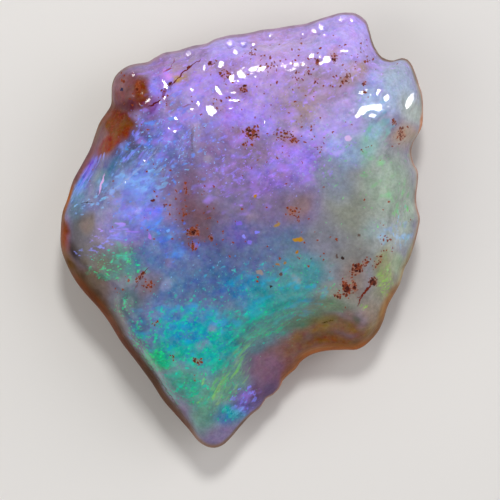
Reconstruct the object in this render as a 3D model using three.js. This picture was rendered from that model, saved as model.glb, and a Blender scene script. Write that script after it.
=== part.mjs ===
// A piece of rough precious opal, grown as one piece. It lies on its flat back with the play-of-colour face up.
// Millimetres. +Z is up, +Y runs from the pointed tip to the broad end, and the origin is under the middle of the
// stone, on the surface that it rests on.
import * as THREE from "three";
import { mergeVertices } from "three/addons/utils/BufferGeometryUtils.js";

// Driving dimensions.
const LENGTH = 31;
const FACE_HEIGHT = 8.1;
const RIM_HEIGHT = 3.5;
const BACK_DEPTH = 3.95;

// The face is drawn in its own units, x to the right and y down. These are the drawing's extent and middle.
const DRAWN_LENGTH = 437.1;
const DRAWN_MIDDLE = [242, 230];
const UNIT = LENGTH / DRAWN_LENGTH;

// The outline seen from above, in drawing units, from the tip up the right side and down the left.
const OUTLINE = [
  [214, 449], [223, 446], [231, 438.5], [240, 428], [250, 417], [260, 409], [266, 400], [273, 396], [280, 389],
  [283, 382], [290, 375], [296, 370], [301, 363], [310, 356.5], [320, 353], [332, 351], [346, 350.5], [358, 350],
  [368, 344], [378, 333], [384, 321], [389, 305], [400, 285], [405, 269], [410, 259], [415, 245], [419, 229],
  [420.5, 218], [417.5, 206], [417, 196], [418.5, 183], [418.5, 171], [414, 162], [412, 151], [414.5, 141],
  [421, 130], [423.5, 120], [423, 97], [419, 83], [414, 68], [409, 60], [402.5, 57.5], [394, 60], [386, 58.5],
  [379, 53], [373, 41], [370, 30], [366, 20], [358, 13.5], [350, 11.5], [340, 12], [326, 16], [314, 20],
  [304, 23], [290, 25], [276, 27.5], [262, 29], [246, 32.5], [228, 35], [215, 38.5], [206, 43], [192, 45.5],
  [178, 50], [165, 52], [155, 57], [147, 61.5], [135, 63.5], [125, 67], [116, 74], [111.5, 84], [111, 95],
  [110.5, 104], [106, 112], [99, 122], [94, 135], [89, 149], [80, 166], [72, 181], [67, 198], [62, 213],
  [60.5, 231], [61, 248], [66, 263], [73, 277], [83, 291], [99, 309], [110, 324], [121, 342], [137, 363],
  [152, 384], [163, 401], [176, 416], [189, 431], [197, 441], [205, 447],
];
const OUTLINE_SAMPLES = 1600;
const HUB = [245, 235];

// The outline's small corners fade towards the middle of the stone. The inner outline is its mean over this angle.
const FADE_ANGLE = 24;
const FADE_SAMPLES = 13;

// Swellings (+) and hollows (-) of the face: middle and half-widths in drawing units, turn in degrees, height in mm.
const FACE_FORMS = [
  { name: "knob", at: [129, 86], half: [23, 21], turn: 0, height: 0.6 },
  { name: "gutter beside the knob", at: [157, 92], half: [11, 27], turn: -24, height: -0.5 },
  { name: "amber dish under the knob", at: [117, 128], half: [19, 24], turn: -20, height: -0.4 },
  { name: "valley from the upper notch", at: [352, 82], half: [44, 12], turn: 43, height: -0.6 },
  { name: "right shoulder", at: [388, 102], half: [29, 38], turn: 0, height: 0.55 },
  { name: "broad end", at: [338, 40], half: [40, 24], turn: 8, height: 0.35 },
  { name: "brown dish", at: [304, 100], half: [36, 22], turn: 8, height: -0.4 },
  { name: "brow", at: [222, 92], half: [36, 20], turn: 10, height: 0.35 },
  { name: "upright fold", at: [190, 142], half: [9, 30], turn: 0, height: -0.25 },
  { name: "slanting ridge", at: [136, 175], half: [42, 9], turn: 40, height: 0.2 },
  { name: "left flank", at: [86, 215], half: [30, 60], turn: 8, height: -0.5 },
  { name: "dip at the right notch", at: [412, 150], half: [20, 16], turn: 0, height: -0.7 },
  { name: "pale shoulder", at: [397, 236], half: [22, 30], turn: 0, height: 0.35 },
  { name: "middle of the face", at: [255, 235], half: [90, 75], turn: 20, height: -0.25 },
  { name: "hollow near the tip", at: [238, 404], half: [22, 16], turn: 40, height: -0.35 },
];

// Hollows of the back, which leave the middle of it flat.
const BACK_FORMS = [
  { name: "upper left hollow", at: [150, 140], half: [40, 52], turn: 30, height: 1.1 },
  { name: "right hollow", at: [378, 215], half: [30, 66], turn: 0, height: 1 },
  { name: "scar", at: [318, 88], half: [66, 22], turn: 14, height: 1 },
  { name: "lower left hollow", at: [120, 285], half: [30, 40], turn: 30, height: 0.6 },
  { name: "tip hollow", at: [206, 380], half: [34, 40], turn: -35, height: 0.9 },
  { name: "lower right hollow", at: [322, 320], half: [46, 24], turn: 28, height: 0.9 },
];

// Long low waves that the whole surface has: direction in degrees, wavelength in mm, height in mm and a shift.
const WAVES = [
  { turn: 12, length: 9.1, height: 0.1, shift: 0.4 },
  { turn: 81, length: 6.3, height: 0.08, shift: 1.9 },
  { turn: 137, length: 4.4, height: 0.05, shift: 3.1 },
  { turn: 52, length: 3.1, height: 0.03, shift: 5.2 },
  { turn: 101, length: 2.3, height: 0.025, shift: 0.9 },
];

// The waves don't run straight: a point is first swayed by this much, in mm, over this length.
const SWAY = { size: 0.8, length: 9.7, shift: 2.2 };

// The face is wrinkled at the broad end: the shorter waves grow towards it, from this height on the drawing.
const WRINKLES = { from: 165, full: 85, gain: 3 };

// The face thins towards the tip.
const TAPER = { from: 250, to: 449, least: 0.62 };

// How square the stone's section is, and how tight its corners are: 2 and 2 would be an ellipse.
const FACE_SECTION = { squareness: 5.2, roundness: 2.05 };
const BACK_SECTION = { squareness: 3, roundness: 2 };
const BREAK_SECTION = { squareness: 13, roundness: 3.2 };
const RIM_SPREAD = 0.92;

// The face's squareness changes round the stone: turns per circuit, size and a shift.
const SECTION_WAVES = [
  { turns: 1, size: 0.7, shift: 5.9 },
  { turns: 2, size: 0.5, shift: 3.9 },
  { turns: 5, size: 0.5, shift: 1.2 },
];

// The steep break down the lower left: its line on the drawing, its lean from upright in degrees, and how far past
// its ends it fades, in drawing units.
const BREAK = { from: [112, 328], to: [190, 432], lean: 14, reach: 34 };

// The round scoop at the lower right, a piece of a ball: middle on the drawing, radius and height of the ball's
// middle in mm, and how soft its edge is.
const SCOOP = { at: [324, 421], radius: 10, middleHeight: 12.45, softness: 0.7 };
const CORNER = { name: "corner beside the scoop", at: [372, 322], half: [15, 20], turn: 25, height: 0.3 };

// How the rim rises and falls round the stone: turns per circuit, height in mm and a shift.
const RIM_WAVES = [
  { turns: 1, height: 0.45, shift: 5.4 },
  { turns: 2, height: 0.4, shift: 0.7 },
  { turns: 3, height: 0.3, shift: 2.6 },
  { turns: 5, height: 0.2, shift: 4.1 },
  { turns: 8, height: 0.1, shift: 1.3 },
];

// Shallow dents of the side, above and below the rim: turns per circuit, turns up the side, depth in mm and a shift.
const SIDE_DENTS = [
  { turns: 5, climbs: 0.6, depth: 0.45, shift: 0.5 },
  { turns: 9, climbs: -0.9, depth: 0.3, shift: 2.8 },
  { turns: 14, climbs: 1.3, depth: 0.15, shift: 4.4 },
];

// Faces across the starting box, and down its sides.
const SPANS = 36;
const SIDE_SPANS = 14;

const COLOUR = 0x9c93b8;

function place([x, y]) {
  return new THREE.Vector2((x - DRAWN_MIDDLE[0]) * UNIT, (DRAWN_MIDDLE[1] - y) * UNIT);
}

function rise(from, to, value) {
  return THREE.MathUtils.smoothstep((value - from) / (to - from), 0, 1);
}

// The height of one swelling or hollow at a point.
function formHeight(form, point) {
  const turn = THREE.MathUtils.degToRad(form.turn);
  const offset = point.clone().sub(place(form.at)).rotateAround(new THREE.Vector2(), -turn);
  const across = offset.x / (form.half[0] * UNIT);
  const along = offset.y / (form.half[1] * UNIT);
  return form.height * Math.exp(-across * across - along * along);
}

function formsHeight(forms, point) {
  return forms.reduce((sum, form) => sum + formHeight(form, point), 0);
}

function drawnY(point) {
  return DRAWN_MIDDLE[1] - point.y / UNIT;
}

function waveHeight(point, gain) {
  const swayTurn = (2 * Math.PI) / SWAY.length;
  const swayedX = point.x + SWAY.size * Math.sin(swayTurn * point.y + SWAY.shift);
  const swayedY = point.y + SWAY.size * Math.sin(swayTurn * point.x);
  return WAVES.reduce((sum, wave, index) => {
    const turn = THREE.MathUtils.degToRad(wave.turn);
    const along = swayedX * Math.cos(turn) + swayedY * Math.sin(turn);
    const height = index < 2 ? wave.height : gain * wave.height;
    return sum + height * Math.sin((2 * Math.PI * along) / wave.length + wave.shift);
  }, 0);
}

// How far the side is drawn in at a place between the rim, at crown 0, and the face or the back, at crown 1.
function sideDent(angle, crown, above) {
  const climb = above ? crown : -crown;
  const depth = SIDE_DENTS.reduce((sum, dent) => {
    const phase = dent.turns * angle + dent.climbs * Math.PI * climb + dent.shift;
    return sum + (dent.depth * (1 + Math.sin(phase))) / 2;
  }, 0);
  return depth * (4 * crown * (1 - crown)) ** 2;
}

// The lower of two heights, with a fillet where they meet.
function softLower(a, b, softness) {
  const share = THREE.MathUtils.clamp(0.5 + (b - a) / (2 * softness), 0, 1);
  return THREE.MathUtils.lerp(b, a, share) - softness * share * (1 - share);
}

// The distance from the hub to the outline, as a function of the direction.
function outlineReader() {
  const hub = place(HUB);
  const corners = OUTLINE.map((at) => {
    const corner = place(at).sub(hub);
    return new THREE.Vector3(corner.x, corner.y, 0);
  });
  const curve = new THREE.CatmullRomCurve3(corners, true, "catmullrom", 0.5);
  const walk = curve
    .getPoints(OUTLINE_SAMPLES)
    .map((p) => ({ angle: Math.atan2(p.y, p.x), radius: Math.hypot(p.x, p.y) }))
    .sort((a, b) => a.angle - b.angle);
  return (angle) => {
    const turn = 2 * Math.PI;
    const wrapped = THREE.MathUtils.euclideanModulo(angle + Math.PI, turn) - Math.PI;
    const next = walk.findIndex((sample) => sample.angle >= wrapped);
    const high = walk[next < 0 ? 0 : next];
    const low = walk[next <= 0 ? walk.length - 1 : next - 1];
    const gap = (high.angle - low.angle + turn) % turn || 1;
    const share = ((wrapped - low.angle + turn) % turn) / gap;
    return THREE.MathUtils.lerp(low.radius, high.radius, share);
  };
}

// The mean distance to the outline round a direction.
function meanEdge(edgeAt, angle) {
  let sum = 0;
  for (let index = 0; index < FADE_SAMPLES; index += 1) {
    const aside = (index / (FADE_SAMPLES - 1) - 0.5) * 2 * THREE.MathUtils.degToRad(FADE_ANGLE);
    sum += edgeAt(angle + aside);
  }
  return sum / FADE_SAMPLES;
}

function rimHeight(angle) {
  return RIM_WAVES.reduce(
    (sum, wave) => sum + wave.height * Math.sin(wave.turns * angle + wave.shift),
    RIM_HEIGHT,
  );
}

// 1 where the outline runs along the break, falling to 0 past its ends.
function breakShare(point) {
  const line = new THREE.Line3(
    new THREE.Vector3(...place(BREAK.from), 0),
    new THREE.Vector3(...place(BREAK.to), 0),
  );
  const spot = new THREE.Vector3(point.x, point.y, 0);
  const nearest = line.closestPointToPoint(spot, true, new THREE.Vector3());
  return 1 - rise(0, BREAK.reach * UNIT, nearest.distanceTo(spot));
}

// The section of the face in a direction, from the round sides to the sharp edge along the break.
function faceSection(angle, broken) {
  const squareness = SECTION_WAVES.reduce(
    (sum, wave) => sum + wave.size * Math.sin(wave.turns * angle + wave.shift),
    FACE_SECTION.squareness,
  );
  return {
    squareness: THREE.MathUtils.lerp(squareness, BREAK_SECTION.squareness, broken),
    roundness: THREE.MathUtils.lerp(FACE_SECTION.roundness, BREAK_SECTION.roundness, broken),
  };
}

function scoopHeight(point) {
  const away = point.distanceTo(place(SCOOP.at));
  return away < SCOOP.radius ? SCOOP.middleHeight - Math.sqrt(SCOOP.radius ** 2 - away ** 2) : Infinity;
}

function faceHeight(point, crown, rim) {
  const taper = THREE.MathUtils.lerp(1, TAPER.least, rise(TAPER.from, TAPER.to, drawnY(point)));
  const flatness = rise(0, 0.7, crown);
  const wrinkled = 1 + (WRINKLES.gain - 1) * rise(WRINKLES.from, WRINKLES.full, drawnY(point));
  const swell = flatness * (formsHeight(FACE_FORMS, point) + waveHeight(point, wrinkled));
  const domed = rim + crown * (FACE_HEIGHT - rim) * taper + swell;
  const scooped = Math.max(scoopHeight(point), rim);
  const cut = Number.isFinite(scooped) ? softLower(domed, scooped, SCOOP.softness) : domed;
  return cut + flatness * formHeight(CORNER, point);
}

function backHeight(point, crown, rim) {
  const flatness = rise(0, 0.7, crown);
  const hollow = flatness * (formsHeight(BACK_FORMS, point) + waveHeight(point, 1));
  return Math.max(0, rim - crown * (rim + BACK_DEPTH - RIM_HEIGHT) + hollow);
}

// Moves one corner of the starting box to its place on the stone.
function stonePoint(boxCorner, edgeAt) {
  const warp = (value) => Math.tan((value * Math.PI) / 4);
  const ray = new THREE.Vector3(warp(boxCorner.x), warp(boxCorner.y), warp(boxCorner.z)).normalize();
  const above = ray.z >= 0;
  const angle = Math.atan2(ray.y, ray.x);
  const share = Math.min(1, Math.pow(Math.hypot(ray.x, ray.y), RIM_SPREAD));
  const direction = new THREE.Vector2(Math.cos(angle), Math.sin(angle));
  const hub = place(HUB);
  const edge = edgeAt(angle);
  const broken = breakShare(hub.clone().addScaledVector(direction, edge));
  const section = above ? faceSection(angle, broken) : BACK_SECTION;
  const crown = Math.pow(1 - Math.pow(share, section.squareness), 1 / section.roundness);
  const rim = rimHeight(angle);
  const lean = above ? broken * crown * (FACE_HEIGHT - rim) * Math.tan(THREE.MathUtils.degToRad(BREAK.lean)) : 0;
  const drawnIn = sideDent(angle, crown, above) * (1 - 0.6 * broken) + lean * share ** 6;
  const reach = THREE.MathUtils.lerp(meanEdge(edgeAt, angle), edge, share ** 4) * share - drawnIn;
  const point = hub.clone().addScaledVector(direction, reach);
  const height = above ? faceHeight(point, crown, rim) : backHeight(point, crown, rim);
  return new THREE.Vector3(point.x, point.y, height);
}

function stoneGeometry() {
  const box = new THREE.BoxGeometry(2, 2, 2, SPANS, SPANS, SIDE_SPANS);
  box.deleteAttribute("normal");
  box.deleteAttribute("uv");
  const geometry = mergeVertices(box, 1e-5);
  const corners = geometry.getAttribute("position");
  const edgeAt = outlineReader();
  const corner = new THREE.Vector3();
  for (let index = 0; index < corners.count; index += 1) {
    const moved = stonePoint(corner.fromBufferAttribute(corners, index), edgeAt);
    corners.setXYZ(index, moved.x, moved.y, moved.z);
  }
  geometry.computeVertexNormals();
  return geometry;
}

const material = new THREE.MeshStandardMaterial({ color: COLOUR, roughness: 0.15, metalness: 0 });
const stone = new THREE.Mesh(stoneGeometry(), material);
stone.name = "opal";

const part = new THREE.Group();
part.add(stone);

export default part;
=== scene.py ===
"""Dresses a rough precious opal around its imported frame: the stone, its finish, the floor and the lights."""

import logging
import math
from dataclasses import dataclass, field, replace
from enum import Enum
from statistics import NormalDist

import bpy
import numpy as np
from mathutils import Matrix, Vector, noise


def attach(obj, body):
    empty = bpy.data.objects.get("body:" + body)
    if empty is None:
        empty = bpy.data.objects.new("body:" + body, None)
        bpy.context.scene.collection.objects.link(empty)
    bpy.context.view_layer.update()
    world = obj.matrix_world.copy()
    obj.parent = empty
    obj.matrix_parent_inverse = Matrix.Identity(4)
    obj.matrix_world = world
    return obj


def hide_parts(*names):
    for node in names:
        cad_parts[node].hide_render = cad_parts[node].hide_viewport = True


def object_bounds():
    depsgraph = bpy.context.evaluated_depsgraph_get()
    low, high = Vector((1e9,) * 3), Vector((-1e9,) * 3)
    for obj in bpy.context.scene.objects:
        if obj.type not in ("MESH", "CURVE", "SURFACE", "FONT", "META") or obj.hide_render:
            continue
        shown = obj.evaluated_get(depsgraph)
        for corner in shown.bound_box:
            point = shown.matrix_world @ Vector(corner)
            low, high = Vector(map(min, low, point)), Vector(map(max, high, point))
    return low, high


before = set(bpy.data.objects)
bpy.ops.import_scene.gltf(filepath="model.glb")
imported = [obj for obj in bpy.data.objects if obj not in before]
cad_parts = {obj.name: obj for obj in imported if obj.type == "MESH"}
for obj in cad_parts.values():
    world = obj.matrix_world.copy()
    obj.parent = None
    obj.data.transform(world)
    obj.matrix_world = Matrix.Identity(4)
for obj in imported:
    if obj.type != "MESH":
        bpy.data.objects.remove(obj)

CAD_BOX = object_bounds()
LOG = logging.getLogger("opal")

# Metres in a millimetre.
MM = 0.001

# The stone is drawn in the photograph's frame, x to the right and y down, as the CAD outline is.
DRAWN_LENGTH = 437.1
DRAWN_MIDDLE = (242, 230)
UNIT_MM = (CAD_BOX[1].y - CAD_BOX[0].y) / MM / DRAWN_LENGTH
PHOTO_SIDE = 500

# Where the camera and the middle of the window light are, in mm.
LENS = 250
SENSOR = 36
SHARP_HEIGHT = 4.5
EYE = ((PHOTO_SIDE / 2 - DRAWN_MIDDLE[0]) * UNIT_MM, (DRAWN_MIDDLE[1] - PHOTO_SIDE / 2) * UNIT_MM,
       SHARP_HEIGHT + PHOTO_SIDE * UNIT_MM * LENS / SENSOR)
WINDOW = (10, 168, 262)

# The noise that sways the edges of the patches starts from the time of day unless it is given a seed.
SWAY_SEED = 21

# Short names for the types that come up most.
Pair = tuple[float, float]
Array = np.ndarray
Tree = bpy.types.NodeTree
Socket = bpy.types.NodeSocket
Sockets = bpy.types.bpy_prop_collection


def place(at: Pair) -> Pair:
    """Turns a point of the drawing, x to the right and y down, into millimetres of the row frame."""
    return (at[0] - DRAWN_MIDDLE[0]) * UNIT_MM, (DRAWN_MIDDLE[1] - at[1]) * UNIT_MM


def drawn(x: float, y: float) -> Pair:
    """Turns millimetres of the row frame into a point of the drawing."""
    return x / UNIT_MM + DRAWN_MIDDLE[0], DRAWN_MIDDLE[1] - y / UNIT_MM


def rise(low: float, high: float, value: Array) -> Array:
    """Climbs smoothly from 0 at low to 1 at high."""
    share = np.clip((value - low) / (high - low), 0, 1)
    return share * share * (3 - 2 * share)


def mix(a: Array, b: Array, share: Array) -> Array:
    """Goes from a at share 0 to b at share 1."""
    return a + (b - a) * share


def as_drawn(points: Array) -> Array:
    """Moves points of the stone, in mm, to where the camera sees them at the height of the drawing."""
    eye = np.array(EYE)
    return eye + (points - eye) * ((eye[2] - SHARP_HEIGHT) / (eye[2] - points[..., 2:]))


def swayed(points: Array, size: float, reach: float) -> Array:
    """Moves points by a noise of a size and a reach, in their own unit."""
    noise.seed_set(SWAY_SEED)
    return points + reach * np.array([noise.noise_vector(Vector(point) / size) for point in points.tolist()])


def linear(hex_colour: str) -> tuple[float, float, float, float]:
    """Turns an sRGB hex colour into the linear colour that a shader takes.

    Args:
        hex_colour: Six hex digits after a hash mark.

    Returns:
        Linear red, green and blue, with alpha 1.
    """
    parts = [int(hex_colour[at:at + 2], 16) / 255 for at in (1, 3, 5)]
    red, green, blue = (part / 12.92 if part <= 0.04045 else ((part + 0.055) / 1.055) ** 2.4
                        for part in parts)
    return red, green, blue, 1.0


def add_node(tree: Tree, kind: str, inputs: dict | None = None, **settings: object) -> bpy.types.Node:
    """Adds a node with its settings and links.

    Args:
        tree: The node tree that the node goes into.
        kind: Blender's name for the kind of node.
        inputs: Input name or number to a value, or to the output socket that feeds it.
        settings: The node's own properties.

    Returns:
        The new node.
    """
    node = tree.nodes.new(kind)
    for name, value in settings.items():
        setattr(node, name, value)
    for key, value in (inputs or {}).items():
        if isinstance(value, Socket):
            tree.links.new(value, node.inputs[key])
        else:
            node.inputs[key].default_value = value
    return node


# A smooth step stays between its ends by itself, so it takes no clamp.
SMOOTH = {"interpolation_type": "SMOOTHSTEP", "clamp": False}

# Socket numbers of the Mix node when it mixes colours.
MIX_SHARE, MIX_BELOW, MIX_ABOVE, MIX_OUT = 0, 6, 7, 2

# The hue, saturation and lightness at which the Hue Saturation Value node changes nothing.
NEUTRAL = (0.5, 1.0, 1.0)

# A soft patch ends a little outside its edge, at this many half-widths.
SOFT_EDGE = 1.15

# What a point of the stone has: x, y, height, the distance in from the outline and the share of the relief.
COLUMNS = 5
HEIGHT, INWARD, RELIEF = 2, 3, 4


class Side(Enum):
    """The two sides of the stone's rim."""

    FACE = 1
    BACK = -1


@dataclass(frozen=True)
class Patch:
    """An ellipse on the drawing: its middle, half-widths and turn in degrees."""

    at: Pair
    half: Pair
    turn: float

    def reach(self, x: Array, y: Array) -> Array:
        """How far points are from its middle, in its half-widths.

        Args:
            x: The points' x in the row frame, in mm.
            y: Their y.

        Returns:
            0 in the middle and 1 on the edge.
        """
        middle = place(self.at)
        turn = math.radians(self.turn)
        aside = (x - middle[0]) * math.cos(turn) + (y - middle[1]) * math.sin(turn)
        along = (y - middle[1]) * math.cos(turn) - (x - middle[0]) * math.sin(turn)
        return np.hypot(aside / (self.half[0] * UNIT_MM), along / (self.half[1] * UNIT_MM))

    def weight(self, where: Array, core: float) -> Array:
        """1 inside its core, falling to 0 just outside its edge."""
        return 1 - rise(core, SOFT_EDGE, self.reach(where[:, 0], where[:, 1]))


@dataclass(frozen=True)
class Swelling(Patch):
    """A smooth hill, or a hollow where its height is below 0. The height is in mm."""

    height: float

    def heights(self, x: Array, y: Array) -> Array:
        """Its height in mm at points of the row frame in mm."""
        return self.height * np.exp(-self.reach(x, y) ** 2)


@dataclass(frozen=True)
class Ripple:
    """A wave of the surface: its direction in degrees, its length and height in mm, and its shift."""

    turn: float
    length: float
    height: float
    shift: float


@dataclass(frozen=True)
class RoundWave:
    """A wave that runs round the stone: turns per circuit, its size, its shift and its climb up the side."""

    turns: int
    size: float
    shift: float
    climb: float = 0.0

    def value(self, angle: Array, height: float | Array = 0.0) -> Array:
        """The wave's value, from -1 to 1, at an angle round the stone and a height on its side."""
        return np.sin(self.turns * angle + self.climb * math.pi * height + self.shift)


# The outline seen from above, from the tip up the right side and down the left.
OUTLINE = (
    (214, 449), (223, 446), (231, 438.5), (240, 428), (250, 417), (260, 409), (266, 400), (273, 396),
    (280, 389), (283, 382), (290, 375), (296, 370), (301, 363), (310, 356.5), (320, 353), (332, 351),
    (346, 350.5), (358, 350), (368, 344), (378, 333), (384, 321), (389, 305), (400, 285), (405, 269),
    (410, 259), (415, 245), (419, 229), (420.5, 218), (417.5, 206), (417, 196), (418.5, 183), (418.5, 171),
    (414, 162), (412, 151), (414.5, 141), (421, 130), (423.5, 120), (423, 97), (419, 83), (414, 68),
    (409, 60), (402.5, 57.5), (394, 60), (386, 58.5), (379, 53), (373, 41), (370, 30), (366, 20),
    (358, 13.5), (350, 11.5), (340, 12), (326, 16), (314, 20), (304, 23), (290, 25), (276, 27.5), (262, 29),
    (246, 32.5), (228, 35), (215, 38.5), (206, 43), (192, 45.5), (178, 50), (165, 52), (155, 57),
    (147, 61.5), (135, 63.5), (125, 67), (116, 74), (111.5, 84), (111, 95), (110.5, 104), (106, 112),
    (99, 122), (94, 135), (89, 149), (80, 166), (72, 181), (67, 198), (62, 213), (60.5, 231), (61, 248),
    (66, 263), (73, 277), (83, 291), (99, 309), (110, 324), (121, 342), (137, 363), (152, 384), (163, 401),
    (176, 416), (189, 431), (197, 441), (205, 447),
)

# Swellings and hollows of the face, by what they are.
FACE_FORMS = {
    "knob": Swelling((129, 86), (23, 21), 0, 0.6),
    "gutter beside the knob": Swelling((157, 92), (11, 27), -24, -0.3),
    "amber dish under the knob": Swelling((117, 128), (19, 24), -20, -0.4),
    "rise under the top wrinkles": Swelling((322, 66), (24, 14), 0, 0.12),
    "rise above the shoulder": Swelling((354, 79), (20, 16), 0, 0.1),
    "right shoulder": Swelling((388, 102), (29, 38), 0, 0.55),
    "broad end": Swelling((338, 40), (44, 26), 8, 0.25),
    "brown dish": Swelling((304, 98), (38, 26), 8, -0.15),
    "brow": Swelling((222, 92), (36, 24), 10, 0.15),
    "upright fold": Swelling((190, 142), (9, 30), 0, -0.25),
    "slanting ridge": Swelling((136, 175), (42, 9), 40, 0.2),
    "left flank": Swelling((86, 215), (30, 60), 8, -0.5),
    "dip at the right notch": Swelling((412, 150), (20, 18), 0, -0.5),
    "pale shoulder": Swelling((397, 236), (22, 30), 0, 0.35),
    "middle of the face": Swelling((255, 235), (90, 75), 20, -0.25),
    "hollow near the tip": Swelling((238, 404), (22, 16), 40, -0.35),
}

# Hollows of the back, which leave the middle of it flat.
BACK_FORMS = {
    "upper left hollow": Swelling((150, 140), (40, 52), 30, 1.1),
    "right hollow": Swelling((378, 215), (30, 66), 0, 1.0),
    "scar": Swelling((318, 88), (66, 22), 14, 1.0),
    "lower left hollow": Swelling((120, 285), (30, 40), 30, 0.6),
    "tip hollow": Swelling((206, 380), (34, 40), -35, 0.9),
    "lower right hollow": Swelling((322, 320), (46, 24), 28, 0.9),
}

# Small flat facets of the skin, most of them at the broad end. Each faces the window, so it shows as a
# white spot.
GLINTS = (
    Patch((165, 84.5), (6.5, 2.2), -62), Patch((164.5, 98.7), (1.9, 2.8), 0),
    Patch((159.7, 102.5), (2.2, 1.6), 0), Patch((188.4, 53.4), (3.7, 2.9), 30),
    Patch((204.3, 68), (1.9, 3.8), 0), Patch((221, 64), (2.9, 3.6), 0), Patch((230, 43), (3.2, 2.9), 0),
    Patch((235.5, 51.4), (2.4, 3.0), 30), Patch((242.8, 43.4), (2.6, 2.4), 0),
    Patch((231.6, 77), (2.8, 2.6), 20), Patch((240.5, 74.5), (3.2, 2.6), -30),
    Patch((218.4, 90.4), (4.6, 2.2), -58), Patch((191.6, 89.7), (3.2, 1.9), -25),
    Patch((227.3, 91), (1.9, 1.7), 0), Patch((233.7, 92.3), (3.3, 2), -15),
    Patch((233.7, 100.6), (6.6, 2.0), -8), Patch((231, 108.8), (3.2, 1.8), 0),
    Patch((211, 111), (3.9, 5.2), 15), Patch((198, 104), (1.9, 3.4), 0),
    Patch((192, 109.5), (2.8, 1.8), 30), Patch((171, 117), (2.2, 2), 0),
    Patch((175.6, 118.5), (1.8, 2.4), 0), Patch((168.6, 128), (1.9, 1.6), 0),
    Patch((175, 131), (1.9, 1.8), 0), Patch((133.5, 95.5), (3.2, 1.8), 15),
    Patch((139.3, 103.8), (1.8, 2), 0), Patch((133, 75), (2.6, 2.6), 0),
    Patch((253.6, 44.6), (2.8, 1.7), 0), Patch((264.4, 35.7), (2.4, 2.8), 0),
    Patch((270.5, 35), (2.4, 3), 0), Patch((252.3, 69.5), (3.2, 1.7), 0),
    Patch((302.7, 34.4), (2.5, 2.4), 0), Patch((321, 27.8), (4.4, 4.2), 0),
    Patch((313, 30.5), (3.4, 2.6), 0), Patch((324.4, 34.8), (2.5, 2.4), 0),
    Patch((341, 19.2), (4, 2.7), 10), Patch((351.8, 20), (2.9, 3.2), 30), Patch((344, 51), (5.2, 2.1), 8),
    Patch((313.5, 55), (4.2, 2.6), 0), Patch((321.5, 55.5), (3.6, 2), 0),
    Patch((327.6, 59.6), (3.2, 3.4), 0), Patch((359.5, 114.8), (5, 3), 48),
    Patch((371.5, 109.6), (10.2, 5.2), 8), Patch((372, 116.6), (4.4, 2.8), 0),
    Patch((380.4, 93), (4.2, 3.3), 0), Patch((386, 97.8), (3.4, 3.8), 0),
    Patch((409.5, 101), (9.2, 3.8), 68), Patch((387.6, 107), (2.4, 2.3), 0),
    Patch((400.3, 108.4), (2.4, 2.3), 0), Patch((144, 160.5), (2.2, 1.9), 0),
    Patch((125.5, 182.6), (2.1, 1.9), 0),
)

# Low waves that the whole surface has, the two long ones first.
RIPPLES = (
    Ripple(12, 9.1, 0.1, 0.4),
    Ripple(81, 6.3, 0.08, 1.9),
    Ripple(137, 4.4, 0.05, 3.1),
    Ripple(52, 3.1, 0.03, 5.2),
    Ripple(101, 2.3, 0.025, 0.9),
)
LONG_RIPPLES = 2

# How the widest line round the stone wanders up and down, in mm.
RIM_WAVES = (
    RoundWave(1, 0.45, 5.4),
    RoundWave(2, 0.4, 0.7),
    RoundWave(3, 0.3, 2.6),
    RoundWave(5, 0.2, 4.1),
    RoundWave(8, 0.1, 1.3),
)
# How square the section is, round the stone.
SECTION_WAVES = (RoundWave(1, 0.7, 5.9), RoundWave(2, 0.5, 3.9), RoundWave(5, 0.5, 1.2))
# Chips and dents of the side, in mm.
SIDE_DENTS = (RoundWave(5, 0.45, 0.5, 0.6), RoundWave(9, 0.3, 2.8, -0.9), RoundWave(14, 0.15, 4.4, 1.3))


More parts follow.
